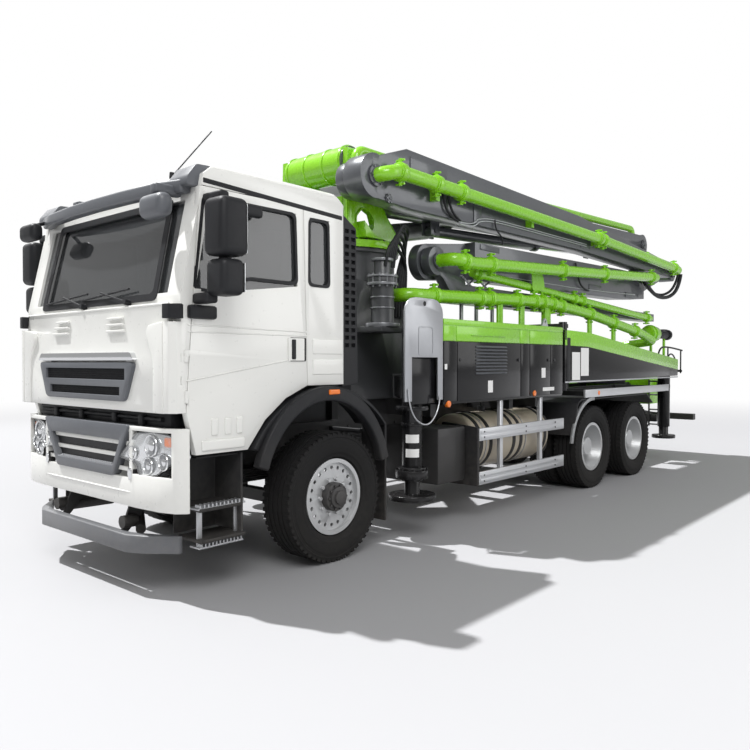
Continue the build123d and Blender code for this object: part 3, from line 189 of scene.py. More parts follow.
def enamel(
    name, colour, shade, roughness=0.3, metallic=0.0, grain=3.0, bump=0.02, coat=0.4, dust=0.25
):
    """Sprayed paint: a slow drift between two tones, road dust low down and a fine peel."""
    made, tree, shader = coat_of(name)
    place = node(tree, "TexCoord", {}).outputs["Object"]
    drift = node(tree, "TexNoise", {"Scale": grain, "Detail": 6, "Vector": place})
    pair = {MIX_FROM: (*colour, 1), MIX_TO: (*shade, 1), 0: drift.outputs["Fac"]}
    tones = node(tree, "Mix", pair, data_type="RGBA")
    height = node(tree, "SeparateXYZ", {"Vector": place}).outputs["Z"]
    band = {"From Min": DUST_TOP, "From Max": DUST_FULL, "To Max": dust, "Value": height}
    low_down = node(tree, "MapRange", band)
    speck = node(tree, "TexNoise", {"Scale": 22, "Detail": 8, "Vector": place}).outputs["Fac"]
    amount = node(tree, "Math", {0: low_down.outputs["Result"], 1: speck}, operation="MULTIPLY")
    pair = {MIX_TO: DUST, 0: amount.outputs[0], MIX_FROM: tones.outputs[MIX_RESULT]}
    dusty = node(tree, "Mix", pair, data_type="RGBA")
    ends = {"To Min": max(roughness - 0.07, 0.03), "To Max": min(roughness + 0.12, 1)}
    gloss = node(tree, "MapRange", {**ends, "Value": speck})
    peel = node(tree, "TexNoise", {"Scale": 160, "Vector": place}).outputs["Fac"]
    relief = node(tree, "Bump", {"Strength": bump, "Distance": 0.01, "Height": peel})
    wired(
        tree,
        shader,
        {
            "Base Color": dusty.outputs[MIX_RESULT],
            "Roughness": gloss.outputs["Result"],
            "Metallic": metallic,
            "Coat Weight": coat,
            "Coat Roughness": 0.08,
            "Normal": relief.outputs["Normal"],
        },
    )
    return made


def duller(finish, level):
    """Lowers how strongly a dark coat mirrors its white surroundings."""
    finish.node_tree.nodes["Principled BSDF"].inputs["Specular IOR Level"].default_value = level
    return finish


cab_white = enamel("cab_white", (0.74, 0.74, 0.71), (0.70, 0.70, 0.67), 0.28)
cab_grey = enamel(
    "cab_grey", (0.105, 0.112, 0.125), (0.085, 0.090, 0.100), 0.42, bump=0.06, coat=0.15
)
plastic_black = duller(
    enamel(
        "plastic_black", (0.018, 0.019, 0.021), (0.012, 0.012, 0.014), 0.45, bump=0.12, coat=0.0
    ),
    0.25,
)
SMOOTH_UNDER = math.radians(34)
SHARP_OVER = math.radians(32)
FLAT_UNDER = math.radians(0.6)
SAME_PLACE = 0.0002


def alone(piece):
    """Selects one piece only and makes it the active one."""
    if bpy.context.object and bpy.context.object.mode != "OBJECT":
        bpy.ops.object.mode_set(mode="OBJECT")
    bpy.ops.object.select_all(action="DESELECT")
    bpy.context.view_layer.objects.active = piece
    piece.select_set(True)


def opened(piece):
    """Opens one piece in edit mode with all of it selected."""
    alone(piece)
    bpy.ops.object.mode_set(mode="EDIT")
    bpy.ops.mesh.select_all(action="SELECT")


def modified(piece, kind, **settings):
    """Runs one modifier on a piece and applies it."""
    alone(piece)
    tool = piece.modifiers.new("Tool", kind)
    for setting, value in settings.items():
        setattr(tool, setting, value)
    bpy.ops.object.modifier_apply(modifier=tool.name)
    return piece


def eased(piece, width, segments=2):
    """Rounds the sharp edges of a piece by a small width."""
    corners = {"limit_method": "ANGLE", "angle_limit": SHARP_OVER}
    return modified(piece, "BEVEL", width=width, segments=segments, **corners)


def joined(pieces):
    """Several pieces as one object."""
    alone(pieces[0])
    for piece in pieces[1:]:
        piece.select_set(True)
    if pieces[1:]:
        bpy.ops.object.join()
    return pieces[0]


def coated(piece, finish):
    """Gives a piece or a solid one coat all over."""
    piece.data.materials.clear()
    piece.data.materials.append(finish)


def fitted(name, parts, finish, body="chassis", replaces=()):
    """Joins the parts of a piece and gives it its coat, body and what it stands for."""
    piece = joined(parts) if isinstance(parts, list) else parts
    piece.name = name
    alone(piece)
    bpy.ops.object.transform_apply(location=True, rotation=True, scale=True)
    bpy.ops.object.shade_smooth_by_angle(angle=SMOOTH_UNDER)
    coated(piece, finish)
    if replaces:
        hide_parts(*replaces)
    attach(piece, body)
    return piece


def welded(solid, width, segments=2):
    """The shape of a solid as one welded sheet with its edges rounded."""
    piece = bpy.data.objects.new(solid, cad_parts[solid].data.copy())
    scene.collection.objects.link(piece)
    opened(piece)
    bpy.ops.mesh.remove_doubles(threshold=SAME_PLACE)
    bpy.ops.mesh.dissolve_limited(angle_limit=FLAT_UNDER)
    bpy.ops.object.mode_set(mode="OBJECT")
    return eased(piece, width, segments)


def dressed(solid, name, width, finish, body="chassis", segments=2):
    """Puts a welded and coated copy of a solid in its place."""
    return fitted(name, welded(solid, width, segments), finish, body, (solid,))


def trimmed(piece, place, normal):
    """Cuts a piece at a plane, drops what lies beyond it and closes the cut."""
    opened(piece)
    bpy.ops.mesh.bisect(plane_co=place, plane_no=normal, use_fill=True, clear_outer=True)
    bpy.ops.object.mode_set(mode="OBJECT")
    return piece


SIDES = ((1, "left"), (-1, "right"))
DOOR_FACE = 1.152
dressed("cab_shell", "cab_body", 0.012, cab_white)
for side, hand in SIDES:
    door = f"door_{hand}"
    skin = trimmed(welded(door, 0.006), (0, side * DOOR_FACE, 0), (0, side, 0))
    fitted(f"door_skin_{hand}", skin, cab_white, door, (door,))
dressed("front_lid", "lid_skin", 0.010, cab_white, "front_lid")
dressed("bumper", "bumper_skin", 0.014, cab_white)


# Glass: tinted laminated screen and toughened side windows, set in black rubber. The panes
# keep the solids' shape, and the rubber runs round each side window on the outside.
glass_finish, pane_tree, pane_shader = coat_of("window_glass")
haze = node(pane_tree, "TexNoise", {"Scale": 1.2})
tints = node(
    pane_tree,
    "Mix",
    {
        MIX_FROM: (0.030, 0.032, 0.034, 1),
        MIX_TO: (0.055, 0.058, 0.060, 1),
        0: haze.outputs["Fac"],
    },
    data_type="RGBA",
)
tint = tints.outputs[MIX_RESULT]
wired(
    pane_tree,
    pane_shader,
    {"Base Color": tint, "Roughness": 0.04, "Alpha": 0.80, "Coat Weight": 1.0},
)
for pane in ("cab_glass", "door_glass_left", "door_glass_right"):
    coated(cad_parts[pane], glass_finish)

# Where a point drawn in a plane lies: its first value along a plane with x is a station
PLANES = {
    "xz": lambda first, second, across: (at(first), across, second),
    "xy": lambda first, second, across: (at(first), second, across),
    "yz": lambda first, second, across: (at(across), first, second),
}
ACROSS = {"xz": Vector((0, 1, 0)), "xy": Vector((0, 0, 1)), "yz": Vector((1, 0, 0))}


def line_loop(places, fill="NOTHING"):
    """A new piece from a closed line through places, empty or filled."""
    bpy.ops.object.select_all(action="DESELECT")
    bpy.ops.mesh.primitive_circle_add(vertices=len(places), fill_type=fill)
    piece = bpy.context.object
    for vertex, place in zip(piece.data.vertices, places):
        vertex.co = place
    return piece


def thickened(piece, across):
    """Draws a flat piece out by a distance, with its faces turned outwards."""
    opened(piece)
    bpy.ops.mesh.extrude_region_move(TRANSFORM_OT_translate={"value": across})
    bpy.ops.mesh.select_all(action="SELECT")
    bpy.ops.mesh.normals_make_consistent(inside=False)
    bpy.ops.object.mode_set(mode="OBJECT")
    return piece


def banded(piece, inner):
    """Fills the strip between a closed line and a second one inside it."""
    opened(piece)
    bpy.ops.mesh.extrude_edges_move()
    bpy.ops.object.mode_set(mode="OBJECT")
    for vertex, place in zip(list(piece.data.vertices)[len(inner):], inner):
        vertex.co = place
    return piece


def prism(outline, plane, low, high):
    """A plate of an outline drawn in a plane, between two places across that plane."""
    places = [PLANES[plane](a, b, low) for a, b in outline]
    return thickened(line_loop(places, "NGON"), ACROSS[plane] * (high - low))


def rounded(corners, radius, steps=5):
    """An outline with its corners turned into short arcs."""
    outline = []
    count = len(corners)
    for index, corner in enumerate(corners):
        here = Vector(corner)
        before = (Vector(corners[index - 1]) - here).normalized()
        after = (Vector(corners[(index + 1) % count]) - here).normalized()
        start, end = here + before * radius, here + after * radius
        for step in range(steps + 1):
            share = step / steps
            first, second = start.lerp(here, share), here.lerp(end, share)
            outline.append(tuple(first.lerp(second, share)))
    return outline


def frame_ring(corners, radius, width, plane, low, high):
    """A flat ring that follows an outline, as wide as given, between two places."""
    outer = rounded(corners, radius)
    centre = Vector((sum(a for a, b in corners), sum(b for a, b in corners))) / len(corners)
    inner = []
    for a, b in outer:
        inward = centre - Vector((a, b))
        inner.append((a + math.copysign(width, inward.x), b + math.copysign(width, inward.y)))
    outside, inside = [[PLANES[plane](a, b, low) for a, b in line] for line in (outer, inner)]
    return thickened(banded(line_loop(outside), inside), ACROSS[plane] * (high - low))


CAB_SIDE = 1.14
DOOR_WINDOW = (
    (1.33, 2.075), (1.255, 2.72), (0.413, 2.72), (0.394, 2.18), (0.86, 2.18), (1.10, 2.06),
)
QUARTER_WINDOW = ((0.29, 2.18), (0.285, 2.71), (0.06, 2.71), (0.05, 2.18))
for side, hand in SIDES:
    low, high = side * (CAB_SIDE - 0.012), side * (CAB_SIDE + 0.004)
    for corners, body in ((DOOR_WINDOW, f"door_{hand}"), (QUARTER_WINDOW, "chassis")):
        ring = frame_ring(corners, 0.05, 0.022, "xz", low, high)
        fitted(f"rubber_{body}_{hand}", ring, plastic_black, body)


# Screen surround: the black printed border of the bonded windscreen, two wipers on their
# spindles under it, and the vents pressed into the lid below.
def rod(start, end, radius, sides=20):
    """A round bar between two places, each a station, a place across and a height."""
    start, end = Vector((at(start[0]), *start[1:])), Vector((at(end[0]), *end[1:]))
    bpy.ops.object.select_all(action="DESELECT")
    bpy.ops.mesh.primitive_cylinder_add(
        vertices=sides,
        radius=radius,
        depth=(end - start).length,
        location=(start + end) / 2,
        rotation=(end - start).to_track_quat("Z", "Y").to_euler(),
    )
    bpy.ops.object.transform_apply(location=True, rotation=True, scale=True)
    return bpy.context.object


def block(stations, ys, zs, edge=0.004):
    """A bar between pairs of stations, places across and heights, its edges rounded."""
    sizes = [abs(pair[1] - pair[0]) for pair in (stations, ys, zs)]
    x, y, z = [(pair[0] + pair[1]) / 2 for pair in (stations, ys, zs)]
    bpy.ops.object.select_all(action="DESELECT")
    bpy.ops.mesh.primitive_cube_add(size=1, location=(at(x), y, z))
    piece = bpy.context.object
    piece.scale = sizes
    bpy.ops.object.transform_apply(location=True, rotation=True, scale=True)
    return eased(piece, min(edge, min(sizes) * 0.4)) if edge else piece


def cut(piece, cutter):
    """Takes the cutter's shape out of a piece."""
    modified(piece, "BOOLEAN", operation="DIFFERENCE", solver="EXACT", object=cutter)
    bpy.data.objects.remove(cutter)
    return piece


SCREEN_LOW = (1.421, 2.035)
SCREEN_HIGH = (1.268, 2.709)


def on_screen(y, share, proud=0.0):
    """A station, place across and height on the windscreen, a share of the way up it."""
    rake = Vector((SCREEN_HIGH[0] - SCREEN_LOW[0], 0, SCREEN_HIGH[1] - SCREEN_LOW[1]))
    out = Vector((rake.z, 0, -rake.x)).normalized()
    return Vector((SCREEN_LOW[0], y, SCREEN_LOW[1])) + rake * share + out * proud


BORDER_WIDTH, BORDER_THICK = 0.055, 0.006
SCREEN_OUTLINE = rounded(
    ((-0.86, -0.03), (0.86, -0.03), (0.835, 1.03), (-0.835, 1.03)), 0.06, 4
)
screen_lines = ([], [])
for a, b in SCREEN_OUTLINE:
    inside = (
        a - math.copysign(BORDER_WIDTH, a),
        b - math.copysign(BORDER_WIDTH * 1.35, b - 0.5),
    )
    for line, (y, share) in zip(screen_lines, ((a, b), inside)):
        x, y, z = on_screen(y, share, BORDER_THICK)
        line.append((at(x), y, z))
border = banded(line_loop(screen_lines[0]), screen_lines[1])
modified(border, "SOLIDIFY", thickness=BORDER_THICK, offset=0)
fitted("screen_border", border, plastic_black)
for number, (pivot_y, tip_y) in enumerate(((0.52, -0.12), (-0.12, -0.72))):
    spindle = on_screen(pivot_y, -0.03, 0.03)
    wiper = [
        rod(spindle, on_screen(tip_y + 0.25, 0.10, 0.035), 0.007, 8),
        rod(
            on_screen(tip_y - 0.05, 0.045, 0.02), on_screen(tip_y + 0.62, 0.115, 0.02), 0.008, 8
        ),
        rod(on_screen(pivot_y, -0.03, 0.0), on_screen(pivot_y, -0.03, 0.05), 0.022, 14),
    ]
    fitted(f"wiper_{number}", wiper, plastic_black)

LID_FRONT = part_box("front_lid")[1].x - FRONT_AXLE_X
vents = []
for side, hand in SIDES:
    for step in range(3):
        face = LID_FRONT - 0.012 + 0.004 * step
        ys = (side * 0.30, side * (0.50 + 0.02 * step))
        low = 1.90 - 0.045 * step
        vents.append(block((LID_FRONT - 0.075, face), ys, (low, low + 0.018), 0.006))
fitted("lid_vents", vents, cab_white, "front_lid")


# Grille: a moulded grey frame on the lid with a bright strip over it, and two openings
# backed by woven black mesh. Its face is plain.
bright, bright_tree, bright_shader = coat_of("bright_trim")
place = node(bright_tree, "TexCoord", {}).outputs["Object"]
smears = node(bright_tree, "TexNoise", {"Scale": 12, "Vector": place}).outputs["Fac"]
gloss = node(bright_tree, "MapRange", {"To Min": 0.06, "To Max": 0.18, "Value": smears})
wired(
    bright_tree,
    bright_shader,
    {"Base Color": (0.72, 0.73, 0.74, 1), "Metallic": 1.0, "Roughness": gloss.outputs["Result"]},
)

GRILLE_BACK = LID_FRONT - 0.03
GRILLE_FACE = LID_FRONT + 0.022
MESH_PITCH, MESH_WIRE = 0.014, 0.003


def mesh_panel(station, ys, zs):
    """A flat woven wire mesh facing forward."""
    wide, high = abs(ys[1] - ys[0]), abs(zs[1] - zs[0])
    bpy.ops.object.select_all(action="DESELECT")
    bpy.ops.mesh.primitive_grid_add(
        x_subdivisions=max(int(high / MESH_PITCH), 2),
        y_subdivisions=max(int(wide / MESH_PITCH), 2),
        size=1,
        location=(at(station), (ys[0] + ys[1]) / 2, (zs[0] + zs[1]) / 2),
        rotation=(0, math.radians(90), 0),
    )
    piece = bpy.context.object
    piece.scale = (high, wide, 1)
    bpy.ops.object.transform_apply(location=True, rotation=True, scale=True)
    return modified(piece, "WIREFRAME", thickness=MESH_WIRE)


GRILLE_OUTLINE = rounded(((-0.715, 1.60), (0.715, 1.60), (0.60, 1.325), (-0.60, 1.325)), 0.05)
OPENINGS = (((-0.60, 0.60), (1.475, 1.555)), ((-0.53, 0.53), (1.365, 1.425)))
grille = prism(GRILLE_OUTLINE, "yz", GRILLE_BACK, GRILLE_FACE)
for ys, zs in OPENINGS:
    cut(grille, block((LID_FRONT - 0.004, GRILLE_FACE + 0.02), ys, zs, 0))
fitted("grille_frame", eased(grille, 0.005), cab_grey, "front_lid")
for number, (ys, zs) in enumerate(OPENINGS):
    backing = block((LID_FRONT - 0.006, LID_FRONT - 0.002), ys, zs, 0)
    woven = [backing, mesh_panel(LID_FRONT + 0.004, ys, zs)]
    fitted(f"grille_mesh_{number}", woven, plastic_black, "front_lid")
STRIP = rounded(((-0.725, 1.612), (-0.68, 1.668), (0.68, 1.668), (0.725, 1.612)), 0.02)
strip = eased(prism(STRIP, "yz", GRILLE_BACK, GRILLE_FACE + 0.004), 0.008, 3)
fitted("grille_strip", strip, bright, "front_lid")


# Cab corners: moulded wind deflectors bolted beside the lid, with two air slots in each,
# and the black mouldings that carry the mirror arms.
CORNER = ((1.387, 1.141), (1.455, 1.139), (1.497, 1.105), (1.505, 1.056), (1.387, 1.056))
LID_CHEEK = (
    (1.047, 1.264), (1.047, 1.865), (0.87, 1.845), (0.85, 1.79), (0.93, 1.60), (0.93, 1.264),
)
ARM_BASE = (
    (1.387, 1.135), (1.426, 1.146), (1.436, 1.176), (1.46, 1.172), (1.505, 1.12), (1.512, 1.056),
    (1.42, 1.056),
)
for side, hand in SIDES:
    corner = prism([(a, side * b) for a, b in CORNER], "xy", 1.264, 1.865)
    for low in (1.60, 1.45):
        cut(corner, block((1.395, 1.425), (side * 1.11, side * 1.16), (low, low + 0.055), 0))
    fitted(f"corner_{hand}", eased(corner, 0.009, 3), cab_white)
    outline = rounded([(side * a, b) for a, b in LID_CHEEK], 0.02, 3)
    cheek = eased(prism(outline, "yz", LID_FRONT - 0.05, LID_FRONT + 0.004), 0.012, 3)
    fitted(f"lid_cheek_{hand}", cheek, cab_white, "front_lid")
    base = prism([(a, side * b) for a, b in ARM_BASE], "xy", 1.884, 1.979)
    fitted(f"arm_base_front_{hand}", eased(base, 0.004, 3), plastic_black)
    base = block((1.16, 1.379), (side * 1.13, side * 1.182), (1.886, 1.977), 0.018)
    fitted(f"arm_base_door_{hand}", base, plastic_black, f"door_{hand}")


# Mirrors: two glass heads in soft black housings on a bent arm at each door, a wide-angle
# bowl over the door window and a ramp mirror ahead of the kerb-side pillar.
def plain(name, inputs):
    """A coat that is the same all over, from its shader's inputs."""
    made, tree, shader = coat_of(name)
    wired(tree, shader, inputs)
    return made


mirror_glass = plain(
    "mirror_glass", {"Base Color": (0.75, 0.77, 0.78, 1), "Metallic": 1.0, "Roughness": 0.03}
)


def soft_box(stations, ys, zs, edge):
    """A moulded housing: a block with wide round edges."""
    return eased(block(stations, ys, zs, 0), edge, 5)


MIRROR_Y = (1.26, 1.48)
# stations, places across, heights, edge
MIRROR_PARTS = (
    ((1.12, 1.345), MIRROR_Y, (2.285, 2.66), 0.05),
    ((1.14, 1.325), (MIRROR_Y[0], 1.46), (2.03, 2.268), 0.045),
    ((1.24, 1.335), (1.13, 1.30), (1.985, 2.055), 0.02),
    ((1.17, 1.25), (1.10, 1.33), (2.655, 2.725), 0.02),
    ((0.78, 1.08), (1.15, 1.21), (2.615, 2.705), 0.028),
)
for side, hand in SIDES:
    door = f"door_{hand}"
    heads = [soft_box(xs, (side * a, side * b), zs, e) for xs, (a, b), zs, e in MIRROR_PARTS]
    heads.append(rod((1.22, side * 1.32, 2.24), (1.22, side * 1.32, 2.30), 0.03))
    heads.append(rod((1.17, side * 1.15, 2.70), (0.98, side * 1.17, 2.68), 0.014, 10))
    fitted(f"mirror_heads_{hand}", heads, plastic_black, door)
    ys = (side * (MIRROR_Y[0] + 0.03), side * (MIRROR_Y[1] - 0.035))
    for low, high, rear in ((2.31, 2.635, 1.118), (2.055, 2.245, 1.138)):
        sheet = block((rear - 0.003, rear + 0.004), ys, (low, high), 0.002)
        fitted(f"mirror_face_{hand}_{int(low * 100)}", sheet, mirror_glass, door)
ramp_mirror = [
    rod((1.30, -0.98, 2.80), (1.49, -0.96, 2.72), 0.016, 12),
    soft_box((1.435, 1.54), (-1.06, -0.80), (2.60, 2.74), 0.045),
]
fitted("ramp_mirror_right", ramp_mirror, plastic_black)
front_mirror = [
    soft_box((1.29, 1.50), (0.90, 0.97), (2.715, 2.785), 0.02),
    soft_box((1.42, 1.54), (0.80, 1.08), (2.55, 2.71), 0.055),
]
fitted("front_mirror_left", front_mirror, cab_grey)


# Roof trim: a grey visor across the screen on two corner blocks, a rail and a gutter along
# each roof edge, two marker lamps in grey housings and a whip aerial.
VISOR_BEND = ((1.345, 1.03), (1.40, 0.80), (1.43, 0.40), (1.44, 0.0))
VISOR_DEPTH = 0.085
visor_front = [*VISOR_BEND, *[(a, -b) for a, b in VISOR_BEND[-2::-1]]]
visor_outline = visor_front + [(a - VISOR_DEPTH, b) for a, b in visor_front[::-1]]
visor = eased(prism(visor_outline, "xy", 2.735, 2.825), 0.018, 3)
fitted("sun_visor", visor, cab_grey)
VISOR_BLOCK = rounded(
    ((1.02, 2.80), (1.06, 2.935), (1.27, 2.925), (1.345, 2.83), (1.345, 2.77)), 0.02, 3
)
ROOF_RAIL = ((-0.09, 2.775), (-0.09, 2.835), (1.03, 2.905), (1.03, 2.835))
ROOF_GUTTER = ((-0.09, 2.735), (-0.09, 2.775), (1.25, 2.835), (1.25, 2.795))
for side, hand in SIDES:
    for name, outline, near, far, edge, segments, finish, slot in (
        ("visor_block", VISOR_BLOCK, 0.88, 1.10, 0.018, 3, cab_grey, "guard_grey"),
        ("roof_rail", ROOF_RAIL, 1.045, 1.128, 0.016, 3, cab_grey, "guard_grey"),
        ("roof_gutter", ROOF_GUTTER, 1.10, 1.142, 0.008, 2, plastic_black, "guard_plastic"),
    ):
        trim = eased(prism(outline, "xz", side * near, side * far), edge, segments)
        fitted(f"{name}_{hand}", trim, finish)

amber = enamel("amber_lens", (0.85, 0.20, 0.015), (0.75, 0.16, 0.01), 0.2, bump=0.0, dust=0.0)
markers = [soft_box((1.06, 1.17), (y - 0.05, y + 0.05), (2.93, 2.965), 0.012) for y in (0.8, -0.8)]
fitted("roof_markers", markers, cab_grey)
aerial = [
    rod((1.15, 0.62, 2.94), (0.80, 0.62, 3.35), 0.006, 8),
    rod((1.15, 0.62, 2.92), (1.145, 0.62, 2.97), 0.018, 12),
]
fitted("whip_aerial", aerial, plastic_black)


# Cab sides: a black slotted air guide behind the cab, pressed crease lines, the step cover
# with three ribs at the foot of each door, and a recessed black pull handle.
AIR_GUIDE = ((-0.29, 1.42), (-0.27, 2.70), (-0.105, 2.80), (-0.105, 1.40))
GUIDE_ROWS, GUIDE_COLUMNS = 16, 2
CREASES = (
    ((0.31, 1.80), (1.37, 1.80)),
    ((0.31, 1.83), (1.37, 1.845)),
    ((0.45, 1.62), (1.385, 1.475)),
)
for side, hand in SIDES:
    door = f"door_{hand}"
    guide = prism(AIR_GUIDE, "xz", side * 1.075, side * 1.125)
    slots = []
    for row in range(GUIDE_ROWS):
        for column in range(GUIDE_COLUMNS):
            x, z = -0.235 + column * 0.075, 1.72 + row * 0.062
            across = (side * 1.10, side * 1.14)
            slots.append(block((x - 0.024, x + 0.024), across, (z, z + 0.032), 0))
    guide = eased(cut(guide, joined(slots)), 0.003, 1)
    fitted(f"air_guide_{hand}", guide, plastic_black)
    creases = []
    for (a, low), (b, high) in CREASES:
        creases.append(rod((a, side * 1.139, low), (b, side * 1.139, high), 0.006, 10))
    for x in (1.17, 1.06, 0.96):
        across = (side * 1.125, side * 1.152)
        creases.append(soft_box((x - 0.035, x + 0.02), across, (1.10, 1.22), 0.012))
    creases.append(soft_box((0.91, 1.27), (side * 1.125, side * 1.155), (1.00, 1.075), 0.014))
    fitted(f"door_pressings_{hand}", creases, cab_white, door)
    cup = soft_box((0.315, 0.475), (side * 1.13, side * 1.150), (1.605, 1.785), 0.02)
    cut(cup, soft_box((0.335, 0.42), (side * 1.135, side * 1.2), (1.63, 1.76), 0.015))
    lever = soft_box((0.43, 0.468), (side * 1.14, side * 1.162), (1.62, 1.77), 0.008)
    fitted(f"door_handle_{hand}", [cup, lever], plastic_black, door)
    folds = [
        soft_box((-0.09, 0.245), (side * 1.128, side * 1.146), (z, z + 0.12), 0.010)
        for z in (1.50, 1.66)
    ]
    fitted(f"rear_panel_folds_{hand}", folds, cab_white)


# Lower mask: the grey moulding in the bumper with its step recess, a saw-toothed tread in
# it, and black ducting behind the gap under the lid.
BUMPER_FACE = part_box("bumper")[1].x - FRONT_AXLE_X
tyre_black = duller(
    enamel(
        "tyre_black", (0.009, 0.009, 0.010), (0.013, 0.013, 0.013), 0.72,
        bump=0.3, coat=0.0, dust=0.06,
    ),
    0.18,
)
steel_silver = enamel(
    "steel_silver", (0.55, 0.56, 0.58), (0.46, 0.47, 0.49), 0.38, metallic=0.75, bump=0.05, coat=0.0
)
MASK = rounded(((-0.64, 1.165), (0.64, 1.165), (0.43, 0.795), (-0.43, 0.795)), 0.03, 3)
RECESS = rounded(((-0.52, 1.055), (0.52, 1.055), (0.42, 0.865), (-0.42, 0.865)), 0.02, 3)
mask = prism(MASK, "yz", BUMPER_FACE - 0.045, BUMPER_FACE + 0.018)
cut(mask, prism(RECESS, "yz", BUMPER_FACE - 0.03, BUMPER_FACE + 0.05))
fitted("step_mask", eased(mask, 0.006), cab_grey)
mask_back = prism(RECESS, "yz", BUMPER_FACE - 0.05, BUMPER_FACE - 0.026)
fitted("step_recess", mask_back, plastic_black)
TEETH, TOOTH_PITCH = 24, 0.032
tread = [block((BUMPER_FACE - 0.03, BUMPER_FACE + 0.004), (-0.40, 0.40), (0.864, 0.874), 0.002)]
for number in range(TEETH):
    y = (number - (TEETH - 1) / 2) * TOOTH_PITCH
    stations = (BUMPER_FACE - 0.008, BUMPER_FACE + 0.006)
    tread.append(block(stations, (y, y + TOOTH_PITCH / 2), (0.87, 0.884), 0))
fitted("step_tread", tread, steel_silver)
ducting = [block((1.30, 1.40), (-0.98, 0.98), (1.10, 1.262), 0.02)]
for z in (1.15, 1.21):
    ducting.append(rod((1.41, -0.90, z), (1.41, 0.90, z), 0.016, 12))
for y in (-0.62, -0.2, 0.30, 0.66):
    ducting.append(block((1.40, 1.44), (y - 0.03, y + 0.03), (1.12, 1.235), 0.01))
fitted("front_ducting", ducting, plastic_black)


# Headlamps: a bright reflector bowl for each of four round lamps and an amber one in a dark
# housing behind one clear moulded lens; an oval fog lamp sits under it in the bumper.
clear = plain(
    "lamp_lens",
    {"Base Color": (0.90, 0.92, 0.93, 1), "Roughness": 0.03, "Alpha": 0.16, "Coat Weight": 1.0},
)


def bumper_x(y):
    """How far forward the bumper's face lies at a place across the truck."""
    return BUMPER_FACE - 0.088 * max((abs(y) - 0.50) / 0.57, 0) ** 2


def follow_bumper(piece):
    """Bends a flat moulding onto the bumper's round corner."""
    for vertex in piece.data.vertices:
        vertex.co.x += bumper_x(vertex.co.y) - BUMPER_FACE
    return piece


def bowl_and_bulb(y, z, radius, side):
    """The rolled rim of one reflector bowl and the bulb shield in its middle."""
    bpy.ops.object.select_all(action="DESELECT")
    bpy.ops.mesh.primitive_torus_add(
        location=(at(bumper_x(y) + 0.001), side * y, z),
        rotation=(0, math.radians(90), 0),
        major_radius=radius,
        minor_radius=0.007,
        major_segments=32,
        minor_segments=8,
    )
    bpy.ops.object.transform_apply(location=True, rotation=True, scale=True)
    ring = bpy.context.object
    bpy.ops.object.select_all(action="DESELECT")
    bpy.ops.mesh.primitive_uv_sphere_add(
        segments=24,
        ring_count=12,
        radius=radius * 0.55,
        location=(at(bumper_x(y) - 0.006), side * y, z),
    )
    bulb = bpy.context.object
    bulb.scale = (0.45, 1, 1)
    bpy.ops.object.transform_apply(location=True, rotation=True, scale=True)
    return [ring, bulb]


LAMP = (
    (0.70, 1.115), (0.86, 1.135), (1.04, 1.115), (1.085, 0.95), (0.90, 0.83), (0.745, 0.80),
    (0.70, 0.905), (0.50, 0.935),
)
# y, z and radius of each reflector bowl
BOWLS = (
    (0.845, 1.035, 0.072),
    (0.655, 0.975, 0.045),
    (0.955, 0.930, 0.055),
    (0.815, 0.895, 0.055),
)
FOG_Y, FOG_Z, FOG_NARROW = 0.632, 0.83, 0.62
for side, hand in SIDES:
    corners = [(side * a, b) for a, b in LAMP]
    outline = rounded(corners, 0.025, 3)
    housing = follow_bumper(prism(outline, "yz", BUMPER_FACE - 0.10, BUMPER_FACE - 0.004))
    housing = eased(housing, 0.004)
    fitted(f"lamp_housing_{hand}", housing, bright, replaces=("headlamps",))
    rim = frame_ring(corners, 0.025, 0.008, "yz", BUMPER_FACE - 0.02, BUMPER_FACE + 0.006)
    fitted(f"lamp_rim_{hand}", follow_bumper(rim), plastic_black)
    bowls, backs = [], []
    for y, z, radius in BOWLS:
        bowls += bowl_and_bulb(y, z, radius, side)
    for y, z, radius in BOWLS:
        x = bumper_x(y)
        backs.append(rod((x - 0.02, side * y, z), (x - 0.002, side * y, z), radius * 0.9, 28))
    fitted(f"lamp_bowls_{hand}", bowls, bright)
    fitted(f"lamp_backs_{hand}", backs, cab_grey)
    stations = (BUMPER_FACE - 0.03, BUMPER_FACE + 0.002)
    blinker = soft_box(stations, (side * 0.96, side * 1.035), (1.03, 1.10), 0.015)
    fitted(f"blinker_{hand}", follow_bumper(blinker), amber)
    lens = follow_bumper(prism(outline, "yz", BUMPER_FACE + 0.004, BUMPER_FACE + 0.010))
    fitted(f"lamp_lens_{hand}", eased(lens, 0.002), clear)
    for name, radius, face, finish, slot in (
        ("fog_rim", 0.055, 0.004, plastic_black, "guard_plastic"),
        ("fog_lamp", 0.042, 0.010, bright, "lamp"),
    ):
        oval = rod((BUMPER_FACE - 0.05, 0, 0), (BUMPER_FACE + face, 0, 0), radius, 28)
        for vertex in oval.data.vertices:
            vertex.co.y = side * FOG_Y + vertex.co.y * FOG_NARROW
            vertex.co.z += FOG_Z
        fitted(f"{name}_{hand}", eased(follow_bumper(oval), 0.004), finish)


def line_tube(points, radius):
    """A tube along a smooth line through places given as station, place across and height."""
    line = bpy.data.curves.new("line", "CURVE")
    line.dimensions = "3D"
    line.bevel_depth = radius
    line.bevel_resolution = 3
    line.resolution_u = 8
    line.use_fill_caps = True
    spline = line.splines.new("NURBS")
    spline.points.add(len(points) - 1)
    for point, (station, y, z) in zip(spline.points, points):
        point.co = (at(station), y, z, 1)
    spline.order_u = 3
    spline.use_endpoint_u = True
    tube = bpy.data.objects.new("tube", line)
    scene.collection.objects.link(tube)
    alone(tube)
    bpy.ops.object.convert(target="MESH")
    return bpy.context.object


